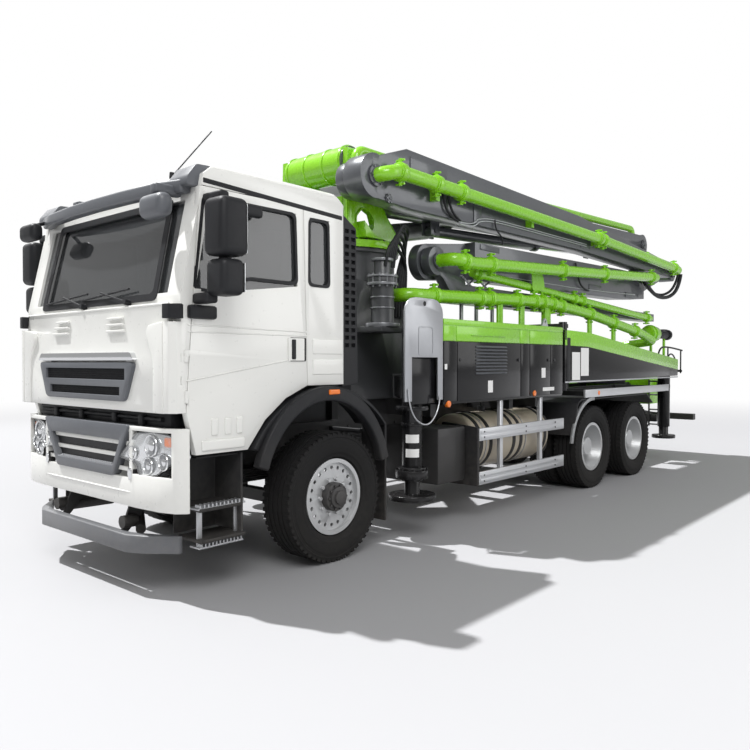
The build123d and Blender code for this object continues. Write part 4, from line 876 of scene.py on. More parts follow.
CREASE_YS = [number * 0.11 - 1.10 for number in range(21)]
crease = line_tube([(bumper_x(y) + 0.001, y, 0.70) for y in CREASE_YS], 0.006)
fitted("bumper_crease", crease, cab_white)


# Front underrun bar and boarding steps: a pressed steel bar on two arms with round
# stretchers behind it, and two toothed aluminium treads at each side of the cab.
dressed("front_underrun", "underrun_bar", 0.010, cab_grey)
stretchers = []
for side, hand in SIDES:
    stretchers.append(rod((1.18, side * 0.20, 0.50), (1.40, side * 0.60, 0.42), 0.035))
    stretchers.append(rod((1.38, side * 0.50, 0.47), (1.49, side * 0.50, 0.47), 0.045))
stretchers.append(rod((1.20, -0.62, 0.53), (1.20, 0.62, 0.53), 0.04))
fitted("underrun_tubes", stretchers, plastic_black)
dressed("cab_steps", "step_boxes", 0.006, plastic_black)
STEP_TEETH = 12
for side, hand in SIDES:
    treads = []
    for low, (rear, front) in ((0.60, (0.88, 1.28)), (0.335, (0.90, 1.27))):
        ys = (side * 1.00, side * 1.115)
        treads.append(block((rear, front), ys, (low, low + 0.012), 0.003))
        for number in range(STEP_TEETH):
            x = rear + 0.02 + number * (front - rear - 0.04) / (STEP_TEETH - 1)
            across = (ys[1], side * 1.06)
            treads.append(block((x - 0.006, x + 0.006), across, (low + 0.01, low + 0.034), 0))
    for x in (0.93, 1.24):
        across = (side * 1.06, side * 1.075)
        treads.append(block((x - 0.02, x + 0.02), across, (0.34, 0.62), 0.003))
    fitted(f"step_treads_{hand}", treads, steel_silver)


# Wheel arches: moulded black flares with a raised lip and an amber side marker over the
# steered wheels, and long guards with a checker-plate edge over the rear wheels.
dressed("mudguards", "mudguard_shells", 0.006, plastic_black)
checker = enamel(
    "checker_plate", (0.42, 0.43, 0.44), (0.33, 0.34, 0.35), 0.4, metallic=0.7, bump=0.5, coat=0.0
)


def arch_band(centre, reach, turns, shrink):
    """A band round a wheel arch: its outer line and the same line drawn inwards."""
    outer = []
    for turn in turns:
        swing = math.radians(turn)
        outer.append(
            (centre[0] + reach[0] * math.cos(swing), centre[1] + reach[1] * math.sin(swing))
        )
    inner = [
        (a + (centre[0] - a) * shrink[0], b + (centre[1] - b) * shrink[1]) for a, b in outer
    ]
    return outer + inner[::-1]


FLARE_TURNS = [18 + step * 6.2 for step in range(25)]
FLARE = arch_band((0.13, 0.60), (0.7392, 0.81), FLARE_TURNS, (0.13, 0.14))
EDGE_TURNS = [8 + step * 7 for step in range(13)]
GUARD_EDGE = arch_band((-4.60, 0.52), (0.62, 0.635), EDGE_TURNS, (0.07, 0.07))
for side, hand in SIDES:
    flare = eased(prism(FLARE, "xz", side * 1.13, side * 1.215), 0.016, 3)
    fitted(f"arch_flare_{hand}", flare, plastic_black)
    marker = soft_box((0.02, 0.14), (side * 1.20, side * 1.226), (1.345, 1.385), 0.01)
    fitted(f"side_marker_{hand}", marker, amber)
for side, hand in SIDES:
    edge = eased(prism(GUARD_EDGE, "xz", side * 1.205, side * 1.238), 0.005)
    fitted(f"checker_edge_{hand}", edge, checker)


# Tyres: radial truck tyres, round-shouldered, with four grooves round the tread, shoulder
# lugs and raised rings on the sidewall. The sidewalls carry no lettering.
TYRE_LOW, TYRE_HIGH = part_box("front_tyre_left")
TYRE_R = (TYRE_HIGH.z - TYRE_LOW.z) / 2
TYRE_W = TYRE_HIGH.y - TYRE_LOW.y
RIM_R = 0.305
TREAD_LUGS = 56


def tyre_section():
    """One tyre's section: bead, ringed sidewall, shoulder and grooved tread, then back."""
    # how far in from the sidewall, and a radius from the rim or from the tread
    wall = [
        (0.040, RIM_R + 0.006),
        (0.022, RIM_R + 0.018),
        (0.014, RIM_R + 0.050),
        (0.010, RIM_R + 0.054),
        (0.006, RIM_R + 0.085),
        (0.001, TYRE_R - 0.110),
        (0.004, TYRE_R - 0.070),
        (0.007, TYRE_R - 0.067),
        (0.010, TYRE_R - 0.045),
        (0.006, TYRE_R - 0.040),
        (0.014, TYRE_R - 0.016),
        (0.030, TYRE_R - 0.006),
    ]
    right = [(TYRE_W / 2 - inset, radius) for inset, radius in wall]
    for groove in (0.075, 0.027):
        for step, depth in ((0.006, 0.002), (0.004, 0.015), (-0.004, 0.015), (-0.006, 0.001)):
            right.append((groove + step, TYRE_R - depth))
    return right + [(-across, radius) for across, radius in reversed(right)]


def tyre(x, y):
    """One tyre with its shoulder lugs, turned round its axle."""
    centre = Vector((x, y, TYRE_R))
    section = [centre + Vector((0, across, radius)) for across, radius in tyre_section()]
    ring = line_loop(section)
    opened(ring)
    bpy.ops.mesh.spin(
        steps=72, angle=math.radians(360), center=centre, axis=(0, 1, 0), use_auto_merge=True
    )
    bpy.ops.mesh.select_all(action="SELECT")
    bpy.ops.mesh.remove_doubles(threshold=SAME_PLACE)
    bpy.ops.mesh.normals_make_consistent(inside=False)
    bpy.ops.object.mode_set(mode="OBJECT")
    bpy.ops.object.select_all(action="DESELECT")
    bpy.ops.mesh.primitive_cube_add(size=1)
    lug = bpy.context.object
    corners = [vertex.co.copy() for vertex in lug.data.vertices]
    lugs = []
    for side in (1, -1):
        for number in range(TREAD_LUGS):
            other = lug.copy()
            other.data = lug.data.copy()
            scene.collection.objects.link(other)
            turn = math.radians(360 * (number + 0.5 * (side > 0)) / TREAD_LUGS)
            for vertex, corner in zip(other.data.vertices, corners):
                inset = 0.034 - corner.y * 0.046 * (1 - 0.25 * corner.x)
                radius = TYRE_R - 0.014 + corner.z * 0.024
                angle = turn + corner.x * 0.058
                across = side * (TYRE_W / 2 - inset)
                reach = Vector((radius * math.cos(angle), across, radius * math.sin(angle)))
                vertex.co = centre + reach
            if side > 0:
                other.data.flip_normals()
            lugs.append(other)
    bpy.data.objects.remove(lug)
    return joined([ring] + lugs)


rim_silver = enamel(
    "rim_silver", (0.56, 0.57, 0.58), (0.47, 0.48, 0.49), 0.36, metallic=0.55, bump=0.06, coat=0.1
)
hub_grey = enamel(
    "hub_grey", (0.055, 0.055, 0.058), (0.035, 0.035, 0.037), 0.5, metallic=0.3, bump=0.2, coat=0.0
)
# axle, ending of its nodes' names, places of its tyres across the truck
AXLES = (
    ("front", "", (1.011,)),
    ("mid", "s", (0.741, 1.091)),
    ("rear", "s", (0.741, 1.091)),
)
WHEELS = [(side, hand, *axle) for side, hand in SIDES for axle in AXLES]
for side, hand, axle, plural, places in WHEELS:
    tyre_node, rim_node = f"{axle}_tyre{plural}_{hand}", f"{axle}_rim{plural}_{hand}"
    body = f"{axle}_wheel_{hand}"
    rings = [tyre(middle(tyre_node).x, side * y) for y in places]
    fitted(f"{tyre_node}_tread", rings, tyre_black, body, (tyre_node,))
    dressed(rim_node, f"{rim_node}_pressing", 0.003, rim_silver, body, 1)


# Hubs: a dark cast hub with a stepped cap on the steered wheels, deep hub drums with a
# bolted flange on the driven ones, and a ring of ten nuts on each.
def bolt_ring(centre, ring, along, count, radius=0.010):
    """Bolt heads round a circle, all pointing along one way, across or up."""
    centre, along = Vector(centre), Vector(along)
    bolts = []
    for number in range(count):
        turn = math.radians(360 * number / count)
        a, b = ring * math.cos(turn), ring * math.sin(turn)
        spot = centre + (Vector((a, b, 0)) if along.z else Vector((a, 0, b)))
        bolts.append(rod(spot, spot + along, radius, 6))
    return bolts


NUTS = 10
# radius of each step of a hub, and how far it stands out from the rim's flange
STEERED_HUB = ((0.115, 0.02), (0.085, 0.045), (0.055, 0.065))
DRIVEN_HUB = ((0.14, 0.03), (0.115, 0.16), (0.09, 0.20))
for side, hand, axle, plural, places in WHEELS:
    steered = axle == "front"
    station = middle(f"{axle}_tyre{plural}_{hand}").x - FRONT_AXLE_X
    face = side * (places[0] + (0.137 if steered else 0.10))
    hub = []
    for radius, proud in STEERED_HUB if steered else DRIVEN_HUB:
        start = (station, face - side * 0.06, TYRE_R)
        hub.append(eased(rod(start, (station, face + side * proud, TYRE_R), radius, 40), 0.006))
    ring, proud = (0.095, 0.034) if steered else (0.125, 0.045)
    hub += bolt_ring((station, face, TYRE_R), ring, (0, side * proud, 0), NUTS, 0.011)
    name = f"{axle}_rim{plural}_{hand}_hub"
    fitted(name, hub, hub_grey, f"{axle}_wheel_{hand}")


# Boom sections: welded box arms of thin high-strength plate in satin grey, with round
# bosses and bolted keeper plates at every pin, turning on a lime drum at the root.
boom_grey = enamel(
    "boom_grey", (0.115, 0.12, 0.13), (0.085, 0.09, 0.10), metallic=0.35, grain=2, dust=0.0
)
lime = enamel(
    "lime_green", (0.235, 0.575, 0.012), (0.205, 0.525, 0.010), 0.24,
    grain=2, bump=0.0, coat=0.5, dust=0.0,
)
sticker_white = enamel(
    "sticker_white", (0.78, 0.78, 0.77), (0.72, 0.72, 0.71), 0.4, bump=0.01, coat=0.2, dust=0.0
)
for number in range(1, 6):
    section = f"boom_{number}"
    dressed(section, f"boom_arm_{number}", 0.008, boom_grey, section)


def pin_cap(station, y, z, side, radius, bolts=6):
    """A pin's end: a stepped round cap and a ring of bolts."""
    cap = []
    for share, proud in ((1.0, 0.012), (0.72, 0.024), (0.30, 0.034)):
        inner, outer = y - side * 0.01, y + side * proud
        disc = rod((station, inner, z), (station, outer, z), radius * share, 36)
        cap.append(eased(disc, 0.003))
    return cap + bolt_ring((station, y, z), radius * 0.85, (0, side * 0.022, 0), bolts)


# station, y, z, side, radius, body
CAPS = (
    (-8.25, 0.463, 3.60, 1, 0.09, "boom_1"),
    (-8.25, -0.315, 3.60, -1, 0.12, "boom_1"),
    (-0.85, 0.84, 3.30, 1, 0.10, "boom_2"),
    (-8.60, 0.842, 3.13, 1, 0.09, "boom_3"),
    (-1.95, 0.735, 2.65, 1, 0.08, "boom_4"),
    (-1.03, 0.83, 3.12, 1, 0.045, "boom_3"),
)
for number, (*place, side, radius, body) in enumerate(CAPS):
    fitted(f"pin_cap_{number}", pin_cap(*place, side, radius), boom_grey, body)
ROOT = (-1.0, 3.52)
for number, (side, hand) in enumerate(SIDES):
    cap = pin_cap(ROOT[0], side * 0.475, ROOT[1], side, 0.11, 8)
    fitted(f"root_cap_{number}", cap, lime, "turret")


def root_disc(near, far, radius):
    """A disc on the root pin between two places across the truck."""
    return rod((ROOT[0], near, ROOT[1]), (ROOT[0], far, ROOT[1]), radius, 64)


drum = [root_disc(-0.385, 0.385, 0.172)]
drum += [eased(root_disc(y - 0.012, y + 0.012, 0.180), 0.003) for y in (-0.36, -0.12, 0.14, 0.36)]
fitted("root_drum", drum, lime, "boom_1")

# Cover plates and hose clips along the outer faces of the arms: stations, y, heights, body
ARM_PLATES = (
    ((-1.95, -1.35), 0.832, (3.45, 3.58), "boom_3"),
    ((-2.60, -2.45), 0.832, (3.10, 3.42), "boom_3"),
    ((-5.30, -5.05), 0.832, (3.14, 3.20), "boom_3"),
    ((-3.15, -2.75), 0.722, (2.86, 2.92), "boom_4"),
    ((-5.95, -5.55), 0.722, (2.62, 2.70), "boom_4"),
    ((-7.35, -6.85), 0.722, (2.60, 2.68), "boom_4"),
)
for number, (stations, y, zs, body) in enumerate(ARM_PLATES):
    plate = block(stations, (y - 0.006, y + 0.008), zs, 0.003)
    fitted(f"arm_plate_{number}", plate, boom_grey, body)
sticker = block((-1.62, -1.50), (0.829, 0.8325), (3.50, 3.58), 0)
fitted("arm_sticker", sticker, sticker_white, "boom_3")


# Concrete pipes: lime-green steel pipe joined by two-part clamps with a bolted lug above
# and below. The feed pipe stands on green posts along the deck.
for run in ("pipes_1", "pipes_2", "pipes_3", "pipes_4", "pipes_5", "delivery_line"):
    coated(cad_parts[run], lime)
PIPE_R = 0.068


def clamp(place, direction, radius):
    """A two-part pipe clamp: two raised rings, a band between them and two bolted lugs."""
    direction = direction.normalized()
    across = direction.cross(Vector((0, 1, 0))).normalized()
    bolt = Vector((0, 0.05, 0))
    parts = []
    for start, end, grown in (
        (-0.052, -0.034, 0.013), (-0.034, 0.034, 0.022), (0.034, 0.052, 0.013),
    ):
        band = rod(place + direction * start, place + direction * end, radius + grown, 28)
        parts.append(eased(band, 0.004))
    for way in (across, -across):
        parts.append(rod(place + way * (radius + 0.010), place + way * (radius + 0.058), 0.019, 10))
        bolt_at = place + way * (radius + 0.042)
        parts.append(rod(bolt_at - bolt, bolt_at + bolt, 0.011, 6))
    return parts


def on_pipe(points, station):
    """A place on a pipe at a station, and the pipe's direction there."""
    for start, end in zip(points, points[1:]):
        if end[0] <= station <= start[0]:
            start, end = Vector(start), Vector(end)
            share = (station - start.x) / (end.x - start.x)
            return start.lerp(end, share), end - start


FEED_PIPE = (
    (-1.45, 0.85, 2.25), (-2.96, 0.85, 2.31), (-4.02, 0.85, 2.34), (-5.30, 0.85, 2.255),
    (-7.10, 0.85, 2.05),
)
FEED_CLAMPS = (-1.72, -2.55, -2.75, -3.35, -3.75, -3.95, -4.20, -4.45, -5.30, -6.10, -6.90)
# name, body, radius, points of the pipe, stations of its clamps
PIPE_RUNS = (
    (
        "clamps_upper", "boom_3", PIPE_R,
        (
            (-0.86, 0.955, 3.32), (-1.03, 0.95, 3.35), (-5.40, 0.95, 3.285), (-8.45, 0.95, 3.165),
            (-8.60, 0.95, 3.14),
        ),
        (-1.06, -1.62, -2.05, -5.35, -5.50, -8.30),
    ),
    (
        "clamps_lower", "boom_4", PIPE_R,
        ((-1.95, 0.95, 2.64), (-2.25, 0.95, 2.635), (-5.40, 0.95, 2.81), (-7.40, 0.95, 2.935)),
        (-2.12, -2.62, -4.30, -5.55, -7.30),
    ),
    (
        "clamps_tip", "boom_5", 0.050,
        ((-2.50, 0.785, 2.576), (-5.10, 0.785, 2.439), (-7.70, 0.785, 2.303)),
        (-2.62, -4.95, -5.20, -7.55),
    ),
    ("clamps_feed", "chassis", PIPE_R, FEED_PIPE, FEED_CLAMPS),
)
for name, body, radius, points, stations in PIPE_RUNS:
    clamps = []
    for station in stations:
        clamps += clamp(*on_pipe(points, station), radius)
    fitted(name, clamps, lime, body)
posts = []
for station, deck in ((-2.96, 1.77), (-3.45, 1.77), (-4.10, 1.75), (-5.30, 1.70), (-6.10, 1.60)):
    top = on_pipe(FEED_PIPE, station)[0].z
    posts.append(block((station - 0.05, station + 0.05), (0.835, 0.865), (deck, top)))
    shoe = block((station - 0.07, station + 0.07), (0.80, 0.90), (deck, deck + 0.015), 0.003)
    posts.append(shoe)
fitted("feed_pipe_posts", posts, lime)


# Deck boxes and rear outrigger arms: gloss black cabinets under a lime band, with seamed
# doors, a louvre, blank labels, amber side lamps and lifting eyes on top.
gloss_black = duller(
    enamel(
        "gloss_black", (0.006, 0.006, 0.007), (0.009, 0.009, 0.010), 0.16,
        grain=2, bump=0.0, coat=0.12, dust=0.03,
    ),
    0.22,
)


def slabs(name, rows, finish, body="chassis", edge=0.003, replaces=()):
    """Flat pieces of one coat: each row gives two stations, two places across, two heights."""
    parts = [block(row[:2], row[2:4], row[4:], edge) for row in rows]
    fitted(name, parts, finish, body, replaces)


SIDE_Y = 1.25
BOX_ENDS = (-3.715, -1.330)
BAND_Z = (1.795, 2.004)
BOX_DOORS = (
    (-1.545, -1.335), (-2.735, -1.558), (-2.930, -2.748), (-3.408, -2.943), (-3.710, -3.421),
)
BAND_DOORS = ((-1.530, -1.335), (-2.715, -1.543), (-2.925, -2.728), (-3.710, -2.938))
BOX_LABELS = (
    (-2.18, -2.09, 1.29, 1.41), (-3.29, -3.20, 1.42, 1.53), (-1.385, -1.345, 1.53, 1.58),
    (-3.50, -3.23, 1.27, 1.31),
)
LOUVRE_ENDS, LOUVRE_LOW, LOUVRE_PITCH, SLATS = (-2.442, -1.866), 1.476, 0.033, 9
for side, hand in SIDES:
    near, skin, face = side * 1.0005, side * 1.244, side * SIDE_Y
    seat = (skin - side * 0.004, face)
    cabinet = [(*BOX_ENDS, near, skin, 1.20, BAND_Z[0])]
    stands_for = ("side_boxes",)
    slabs(f"deck_box_{hand}", cabinet, gloss_black, "chassis", 0.006, stands_for)
    band = [(*BOX_ENDS, near, skin, *BAND_Z)]
    slabs(f"deck_band_{hand}", band, lime, "chassis", 0.006, stands_for)
    rows = [(*ends, *seat, 1.225, BAND_Z[0] - 0.004) for ends in BOX_DOORS]
    slabs(f"deck_doors_{hand}", rows, gloss_black, edge=0.004)
    rows = [(*ends, *seat, BAND_Z[0] + 0.004, 1.938) for ends in BAND_DOORS]
    rows.append((*BOX_ENDS, *seat, 1.946, 2.0))
    rows.append((-2.413, -1.776, face - side * 0.002, face + side * 0.012, 1.856, 1.866))
    slabs(f"deck_band_doors_{hand}", rows, lime, edge=0.004)
    slats = []
    for number in range(SLATS):
        low, back = LOUVRE_LOW + number * LOUVRE_PITCH, face - side * 0.002
        outline = [(back, low), (face + side * 0.016, low + 0.004), (back, low + 0.022)]
        slats.append(prism(outline, "yz", *LOUVRE_ENDS))
    fitted(f"louvre_{hand}", slats, cab_grey)
    rows = [(*row[:2], face, face + side * 0.001, *row[2:]) for row in BOX_LABELS]
    slabs(f"deck_labels_{hand}", rows, sticker_white, edge=0)
    locks = []
    for station in (-1.60, -2.70, -3.36, -3.50):
        locks.append(rod((station, skin, 1.62), (station, face + side * 0.008, 1.62), 0.016, 16))
    fitted(f"deck_locks_{hand}", locks, hub_grey)
    lamps = []
    for station, y, z in ((-1.408, 1.262, 1.205), (-3.036, 1.262, 1.251), (-4.72, 1.255, 1.20)):
        lamp = rod((station, side * 1.22, z), (station, side * y, z), 0.032, 24)
        lamps.append(eased(lamp, 0.008))
    fitted(f"side_lamps_{hand}", lamps, amber)

WING_BAND = (
    (-3.768, 1.978), (-4.440, 1.961), (-7.652, 1.635), (-7.652, 1.473), (-4.385, 1.785),
    (-3.768, 1.795),
)
for side, hand in SIDES:
    body = f"rear_outrigger_{hand}"
    dressed(body, f"wing_{hand}", 0.006, gloss_black, body)
    band = eased(prism(WING_BAND, "xz", side * 0.998, side * 1.254), 0.004)
    fitted(f"wing_band_{hand}", band, lime, body)
    face = side * SIDE_Y
    sheet, latch = (face, face + side * 0.0015), (face, face + side * 0.006)
    rows = [(-4.169, -3.953, *sheet, 1.378, 1.715), (-4.409, -4.192, *sheet, 1.425, 1.770)]
    slabs(f"wing_labels_{hand}", rows, sticker_white, body, 0)
    rows = [(-3.90, -3.815, *latch, 1.36, 1.885), (-3.80, -3.770, *latch, 1.86, 1.99)]
    slabs(f"wing_latch_{hand}", rows, plastic_black, body, 0.002)
    rows = [(-7.645, -3.775, side * 1.236, side * 1.256, 1.348, 1.366)]
    slabs(f"wing_edge_{hand}", rows, steel_silver, body)

# Lifting eyes stand on the deck boxes
LIFT_EYE = ((-3.42, 2.0), (-3.38, 2.075), (-3.35, 2.095), (-3.32, 2.075), (-3.27, 2.0))
for side, hand in SIDES:
    eye = prism(LIFT_EYE, "xz", side * 1.19, side * 1.215)
    cut(eye, rod((-3.35, side * 1.0, 2.055), (-3.35, side * 1.3, 2.055), 0.018))
    fitted(f"lift_eye_{hand}", eye, steel_silver)


# Front outriggers: a brushed end plate with a cut-out and a pressed square, a black jack
# with blank labels, a collar and a foot, and a cable that hangs round it.
brushed = enamel(
    "brushed_plate", (0.42, 0.43, 0.45), (0.36, 0.37, 0.39), 0.32,
    metallic=0.55, grain=5, bump=0.03, coat=0.1, dust=0.0,
)
jack_black = duller(
    enamel("jack_black", (0.008, 0.008, 0.009), (0.012, 0.012, 0.013), 0.22, coat=0.2, dust=0.04),
    0.25,
)
PANEL = (
    (-1.316, 1.25), (-1.316, 2.04), (-1.306, 2.088), (-1.276, 2.130), (-1.23, 2.159),
    (-1.17, 2.172), (-0.90, 2.172), (-0.84, 2.159), (-0.797, 2.130), (-0.767, 2.088),
    (-0.757, 2.04), (-0.757, 1.25), (-0.855, 1.25), (-0.855, 1.64), (-1.239, 1.64), (-1.239, 1.25),
)
PRESSED = ((-1.162, 1.655), (-1.162, 1.918), (-0.945, 1.918), (-0.945, 1.655))
JACK_STATION, JACK_Y = -1.03, 1.115
# heights and radius of each ring round the jack
JACK_RINGS = (
    (0.545, 0.62, 0.150),
    (0.62, 0.645, 0.130),
    (1.02, 1.05, 0.105),
    (1.16, 1.20, 0.15),
)
CABLE = (
    (-0.79, 1.262, 1.36), (-0.80, 1.262, 1.15), (-1.04, 1.272, 1.00), (-1.24, 1.262, 1.15),
    (-1.25, 1.262, 1.28),
)
for side, hand in SIDES:
    body = f"front_outrigger_{hand}"
    dressed(body, f"front_arm_{hand}", 0.004, jack_black, body)
    plate = prism(PANEL, "xz", side * 1.236, side * 1.252)
    cut(plate, rod((-1.038, side * 1.0, 2.122), (-1.038, side * 1.4, 2.122), 0.022))
    fitted(f"end_plate_{hand}", eased(plate, 0.003), brushed, body)
    ring = frame_ring(PRESSED, 0.03, 0.009, "xz", side * 1.250, side * 1.256)
    fitted(f"pressed_square_{hand}", ring, brushed, body)
    recess = block((-1.236, -0.858), (side * 1.205, side * 1.215), (1.22, 1.66), 0.002)
    fitted(f"jack_recess_{hand}", recess, gloss_black, body)
    outline = []
    for radius, turns in ((0.0935, range(0, 81, 8)), (0.0915, range(80, -1, -8))):
        for turn in turns:
            a, b = math.cos(math.radians(turn)), math.sin(math.radians(turn))
            outline.append((JACK_STATION + radius * a, side * (JACK_Y + radius * b)))
    labels = [prism(outline, "xy", z, z + 0.075) for z in (0.87, 0.74)]
    fitted(f"jack_labels_{hand}", labels, sticker_white, body)
    place = (JACK_STATION, side * JACK_Y)
    rings = [eased(rod((*place, a), (*place, b), r, 40), 0.006) for a, b, r in JACK_RINGS]
    rings += bolt_ring((*place, 0.535), 0.137, (0, 0, 0.10), 8, 0.009)
    fitted(f"jack_rings_{hand}", rings, jack_black, body)
    cable = line_tube([(x, side * y, z) for x, y, z in CABLE], 0.007)
    fitted(f"jack_cable_{hand}", cable, steel_silver, body)
    for jack in (f"front_jack_{hand}", f"rear_jack_{hand}"):
        dressed(jack, f"{jack}_leg", 0.006, jack_black, jack)


# Tanks and side guards: a cream tank between black straps with domed ends, a black cover at
# the front, and two ribbed aluminium rails on posts.
cream = enamel("cream_tank", (0.50, 0.44, 0.34), (0.44, 0.39, 0.31), 0.34, dust=0.15)
guard_metal = enamel(
    "guard_metal", (0.60, 0.61, 0.63), (0.52, 0.53, 0.55),
    metallic=0.6, grain=4, coat=0.1, dust=0.1,
)
TANK_R, TANK_Y, TANK_Z = 0.30, 0.835, 0.76
TANK_ENDS = (-3.60, -2.05)
STRAPS = (-2.15, -2.33, -2.80, -2.95, -3.50)
CRADLED = (-2.15, -2.80, -3.50)
GUARD_COVER = ((0.80, 0.36), (1.242, 0.36), (1.242, 0.945), (0.80, 0.985))
RIB_HALF = 0.016


def hoop(y, rear, front, proud=0.0):
    """A tank's round between two stations, or a band that stands proud of it."""
    return rod((rear, y, TANK_Z), (front, y, TANK_Z), TANK_R + proud, 64)


for side, hand in SIDES:
    y = side * TANK_Y
    tank = eased(hoop(y, *TANK_ENDS), 0.035, 5)
    fitted(f"tank_{hand}", tank, cream, replaces=("side_tanks",))
    straps = [hoop(y, station - 0.03, station + 0.03, 0.004) for station in STRAPS]
    for station in CRADLED:
        straps.append(block((station - 0.035, station + 0.035), (side * 0.5203, y), (0.64, 0.88)))
    fitted(f"tank_straps_{hand}", straps, plastic_black)
    rings = [hoop(y, station - 0.006, station + 0.006, 0.007) for station in (-2.24, -3.05)]
    fitted(f"tank_rings_{hand}", rings, steel_silver)
    cap = [
        eased(rod((-2.60, y, 1.05), (-2.60, y, 1.115), 0.045, 24), 0.004),
        rod((-2.60, y, 1.10), (-2.60, y, 1.19), 0.014, 12),
    ]
    fitted(f"tank_cap_{hand}", cap, plastic_black)
    outline = rounded([(side * a, b) for a, b in GUARD_COVER], 0.03)
    cover = eased(prism(outline, "yz", -1.955, -1.915), 0.006)
    fitted(f"guard_cover_{hand}", cover, plastic_black)
    if side > 0:
        # One solid holds the rails of both sides
        dressed("side_guards", "guard_rails_left", 0.004, guard_metal)
    rows = []
    for low, high in ((0.370, 0.500), (0.810, 0.935)):
        for share in (0.30, 0.70):
            z = low + (high - low) * share
            rows.append((-3.60, -1.96, side * 1.249, side * 1.2545, z - RIB_HALF, z + RIB_HALF))
    slabs(f"guard_ribs_{hand}", rows, guard_metal, edge=0.004)
    bolts = []
    for station in (-2.02, -2.85, -3.52):
        for z in (0.405, 0.465, 0.845, 0.90):
            bolts.append(rod((station, side * 1.25, z), (station, side * 1.260, z), 0.009, 6))
    fitted(f"guard_bolts_{hand}", bolts, hub_grey)


# Chassis: ladder frame, axles, engine and the sheets round them in flat and satin black,
# with flitch bolts, spring leaves, air tanks, cable runs and a rear cross-member.
frame_black = enamel(
    "frame_black", (0.014, 0.014, 0.015), (0.020, 0.020, 0.021), 0.5,
    bump=0.08, coat=0.1, dust=0.12,
)
engine_grey = enamel(
    "engine_grey", (0.05, 0.052, 0.055), (0.03, 0.031, 0.033), 0.55,
    metallic=0.3, bump=0.15, coat=0.0, dust=0.2,
)
for solid in ("chassis_frame", "front_axle", "rear_axles", "cab_steps", "mudguards"):
    coated(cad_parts[solid], frame_black)
for solid in ("engine_block", "knuckle_left", "knuckle_right"):
    coated(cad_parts[solid], engine_grey)
RAIL_Y = 0.435
FRAME_BOLTS, BOLT_PITCH = 20, 0.35
LEAVES = 5
for side, hand in SIDES:
    bolts = []
    for number in range(FRAME_BOLTS):
        station = -0.9 - BOLT_PITCH * number
        for z in (0.82, 0.98):
            start = (station, side * RAIL_Y, z)
            bolts.append(rod(start, (station, side * (RAIL_Y + 0.014), z), 0.012, 6))
    fitted(f"frame_bolts_{hand}", bolts, hub_grey)
    spring = []
    for number in range(LEAVES):
        half, low = 0.78 - number * 0.13, 0.70 - number * 0.022
        across = (side * 0.40, side * 0.48)
        spring.append(block((-half, half), across, (low, low + 0.018), 0.003))
    for station in (-0.06, 0.06):
        for y in (0.39, 0.49):
            spring.append(rod((station, side * y, 0.55), (station, side * y, 0.76), 0.011, 10))
    fitted(f"front_spring_{hand}", spring, frame_black)
    runs = []
    for z in (0.86, 0.89, 0.93):
        path = [
            (-0.8, side * 0.455, z),
            (-2.5, side * 0.458, z + 0.02),
            (-4.2, side * 0.456, z - 0.01),
            (-7.4, side * 0.455, z),
        ]
        runs.append(line_tube(path, 0.008))
    fitted(f"air_lines_{hand}", runs, plastic_black)
# Two air tanks at each side ahead of the mid axle, battery covers and the rear beam
air_tanks = []
for z in (0.62, 0.86):
    for side, hand in SIDES:
        air_tank = rod((-3.72, side * 0.47, z), (-3.72, side * 1.00, z), 0.10, 32)
        air_tanks.append(eased(air_tank, 0.02, 4))
fitted("air_tanks", air_tanks, frame_black)
covers = [
    block((-1.88, -1.42), (0.45, 1.12), (0.42, 0.96), 0.02),
    block((-1.88, -1.42), (-1.12, -0.45), (0.42, 0.96), 0.02),
    block((-7.78, -7.70), (-0.90, 0.90), (0.62, 0.74), 0.01),
]
fitted("battery_covers", covers, frame_black)


# Cab inside: moulded seats with side bolsters and head rests, a dashboard with a hood and
# a wheel, in dark grey cloth and plastic.
cloth = enamel(
    "seat_cloth", (0.055, 0.057, 0.062), (0.035, 0.036, 0.040), 0.85,
    grain=30, bump=0.3, coat=0.0, dust=0.0,
)
dressed("cab_interior", "cab_furniture", 0.018, cloth, segments=3)
SEAT_Y = 0.56
seats = []
for y in (-SEAT_Y, SEAT_Y):
    for edge in (y - 0.205, y + 0.205):
        seats.append(soft_box((0.33, 0.76), (edge - 0.03, edge + 0.03), (1.88, 1.945), 0.02))
    seats.append(soft_box((0.13, 0.25), (y - 0.13, y + 0.13), (2.50, 2.68), 0.03))
fitted("seat_trim", seats, cloth)
hood = soft_box((1.05, 1.27), (0.33, 0.79), (2.00, 2.07), 0.025)
fitted("dash_hood", hood, plastic_black)


# Turret and pedestal: lime cheek plates with edge flanges and a bolted slewing ring over a
# dark column, the slewing gearbox beside it and black hoses up to the boom.
pedestal_grey = enamel(
    "pedestal_grey", (0.060, 0.062, 0.066), (0.045, 0.047, 0.050), 0.42,
    grain=2, bump=0.05, coat=0.25, dust=0.1,
)
cylinder_grey = enamel(
    "cylinder_grey", (0.21, 0.215, 0.225), (0.17, 0.175, 0.185), 0.34,
    metallic=0.4, bump=0.03, coat=0.3, dust=0.0,
)
dressed("turret", "turret_plates", 0.004, lime, "turret", 1)
dressed("pedestal", "pedestal_body", 0.006, pedestal_grey)
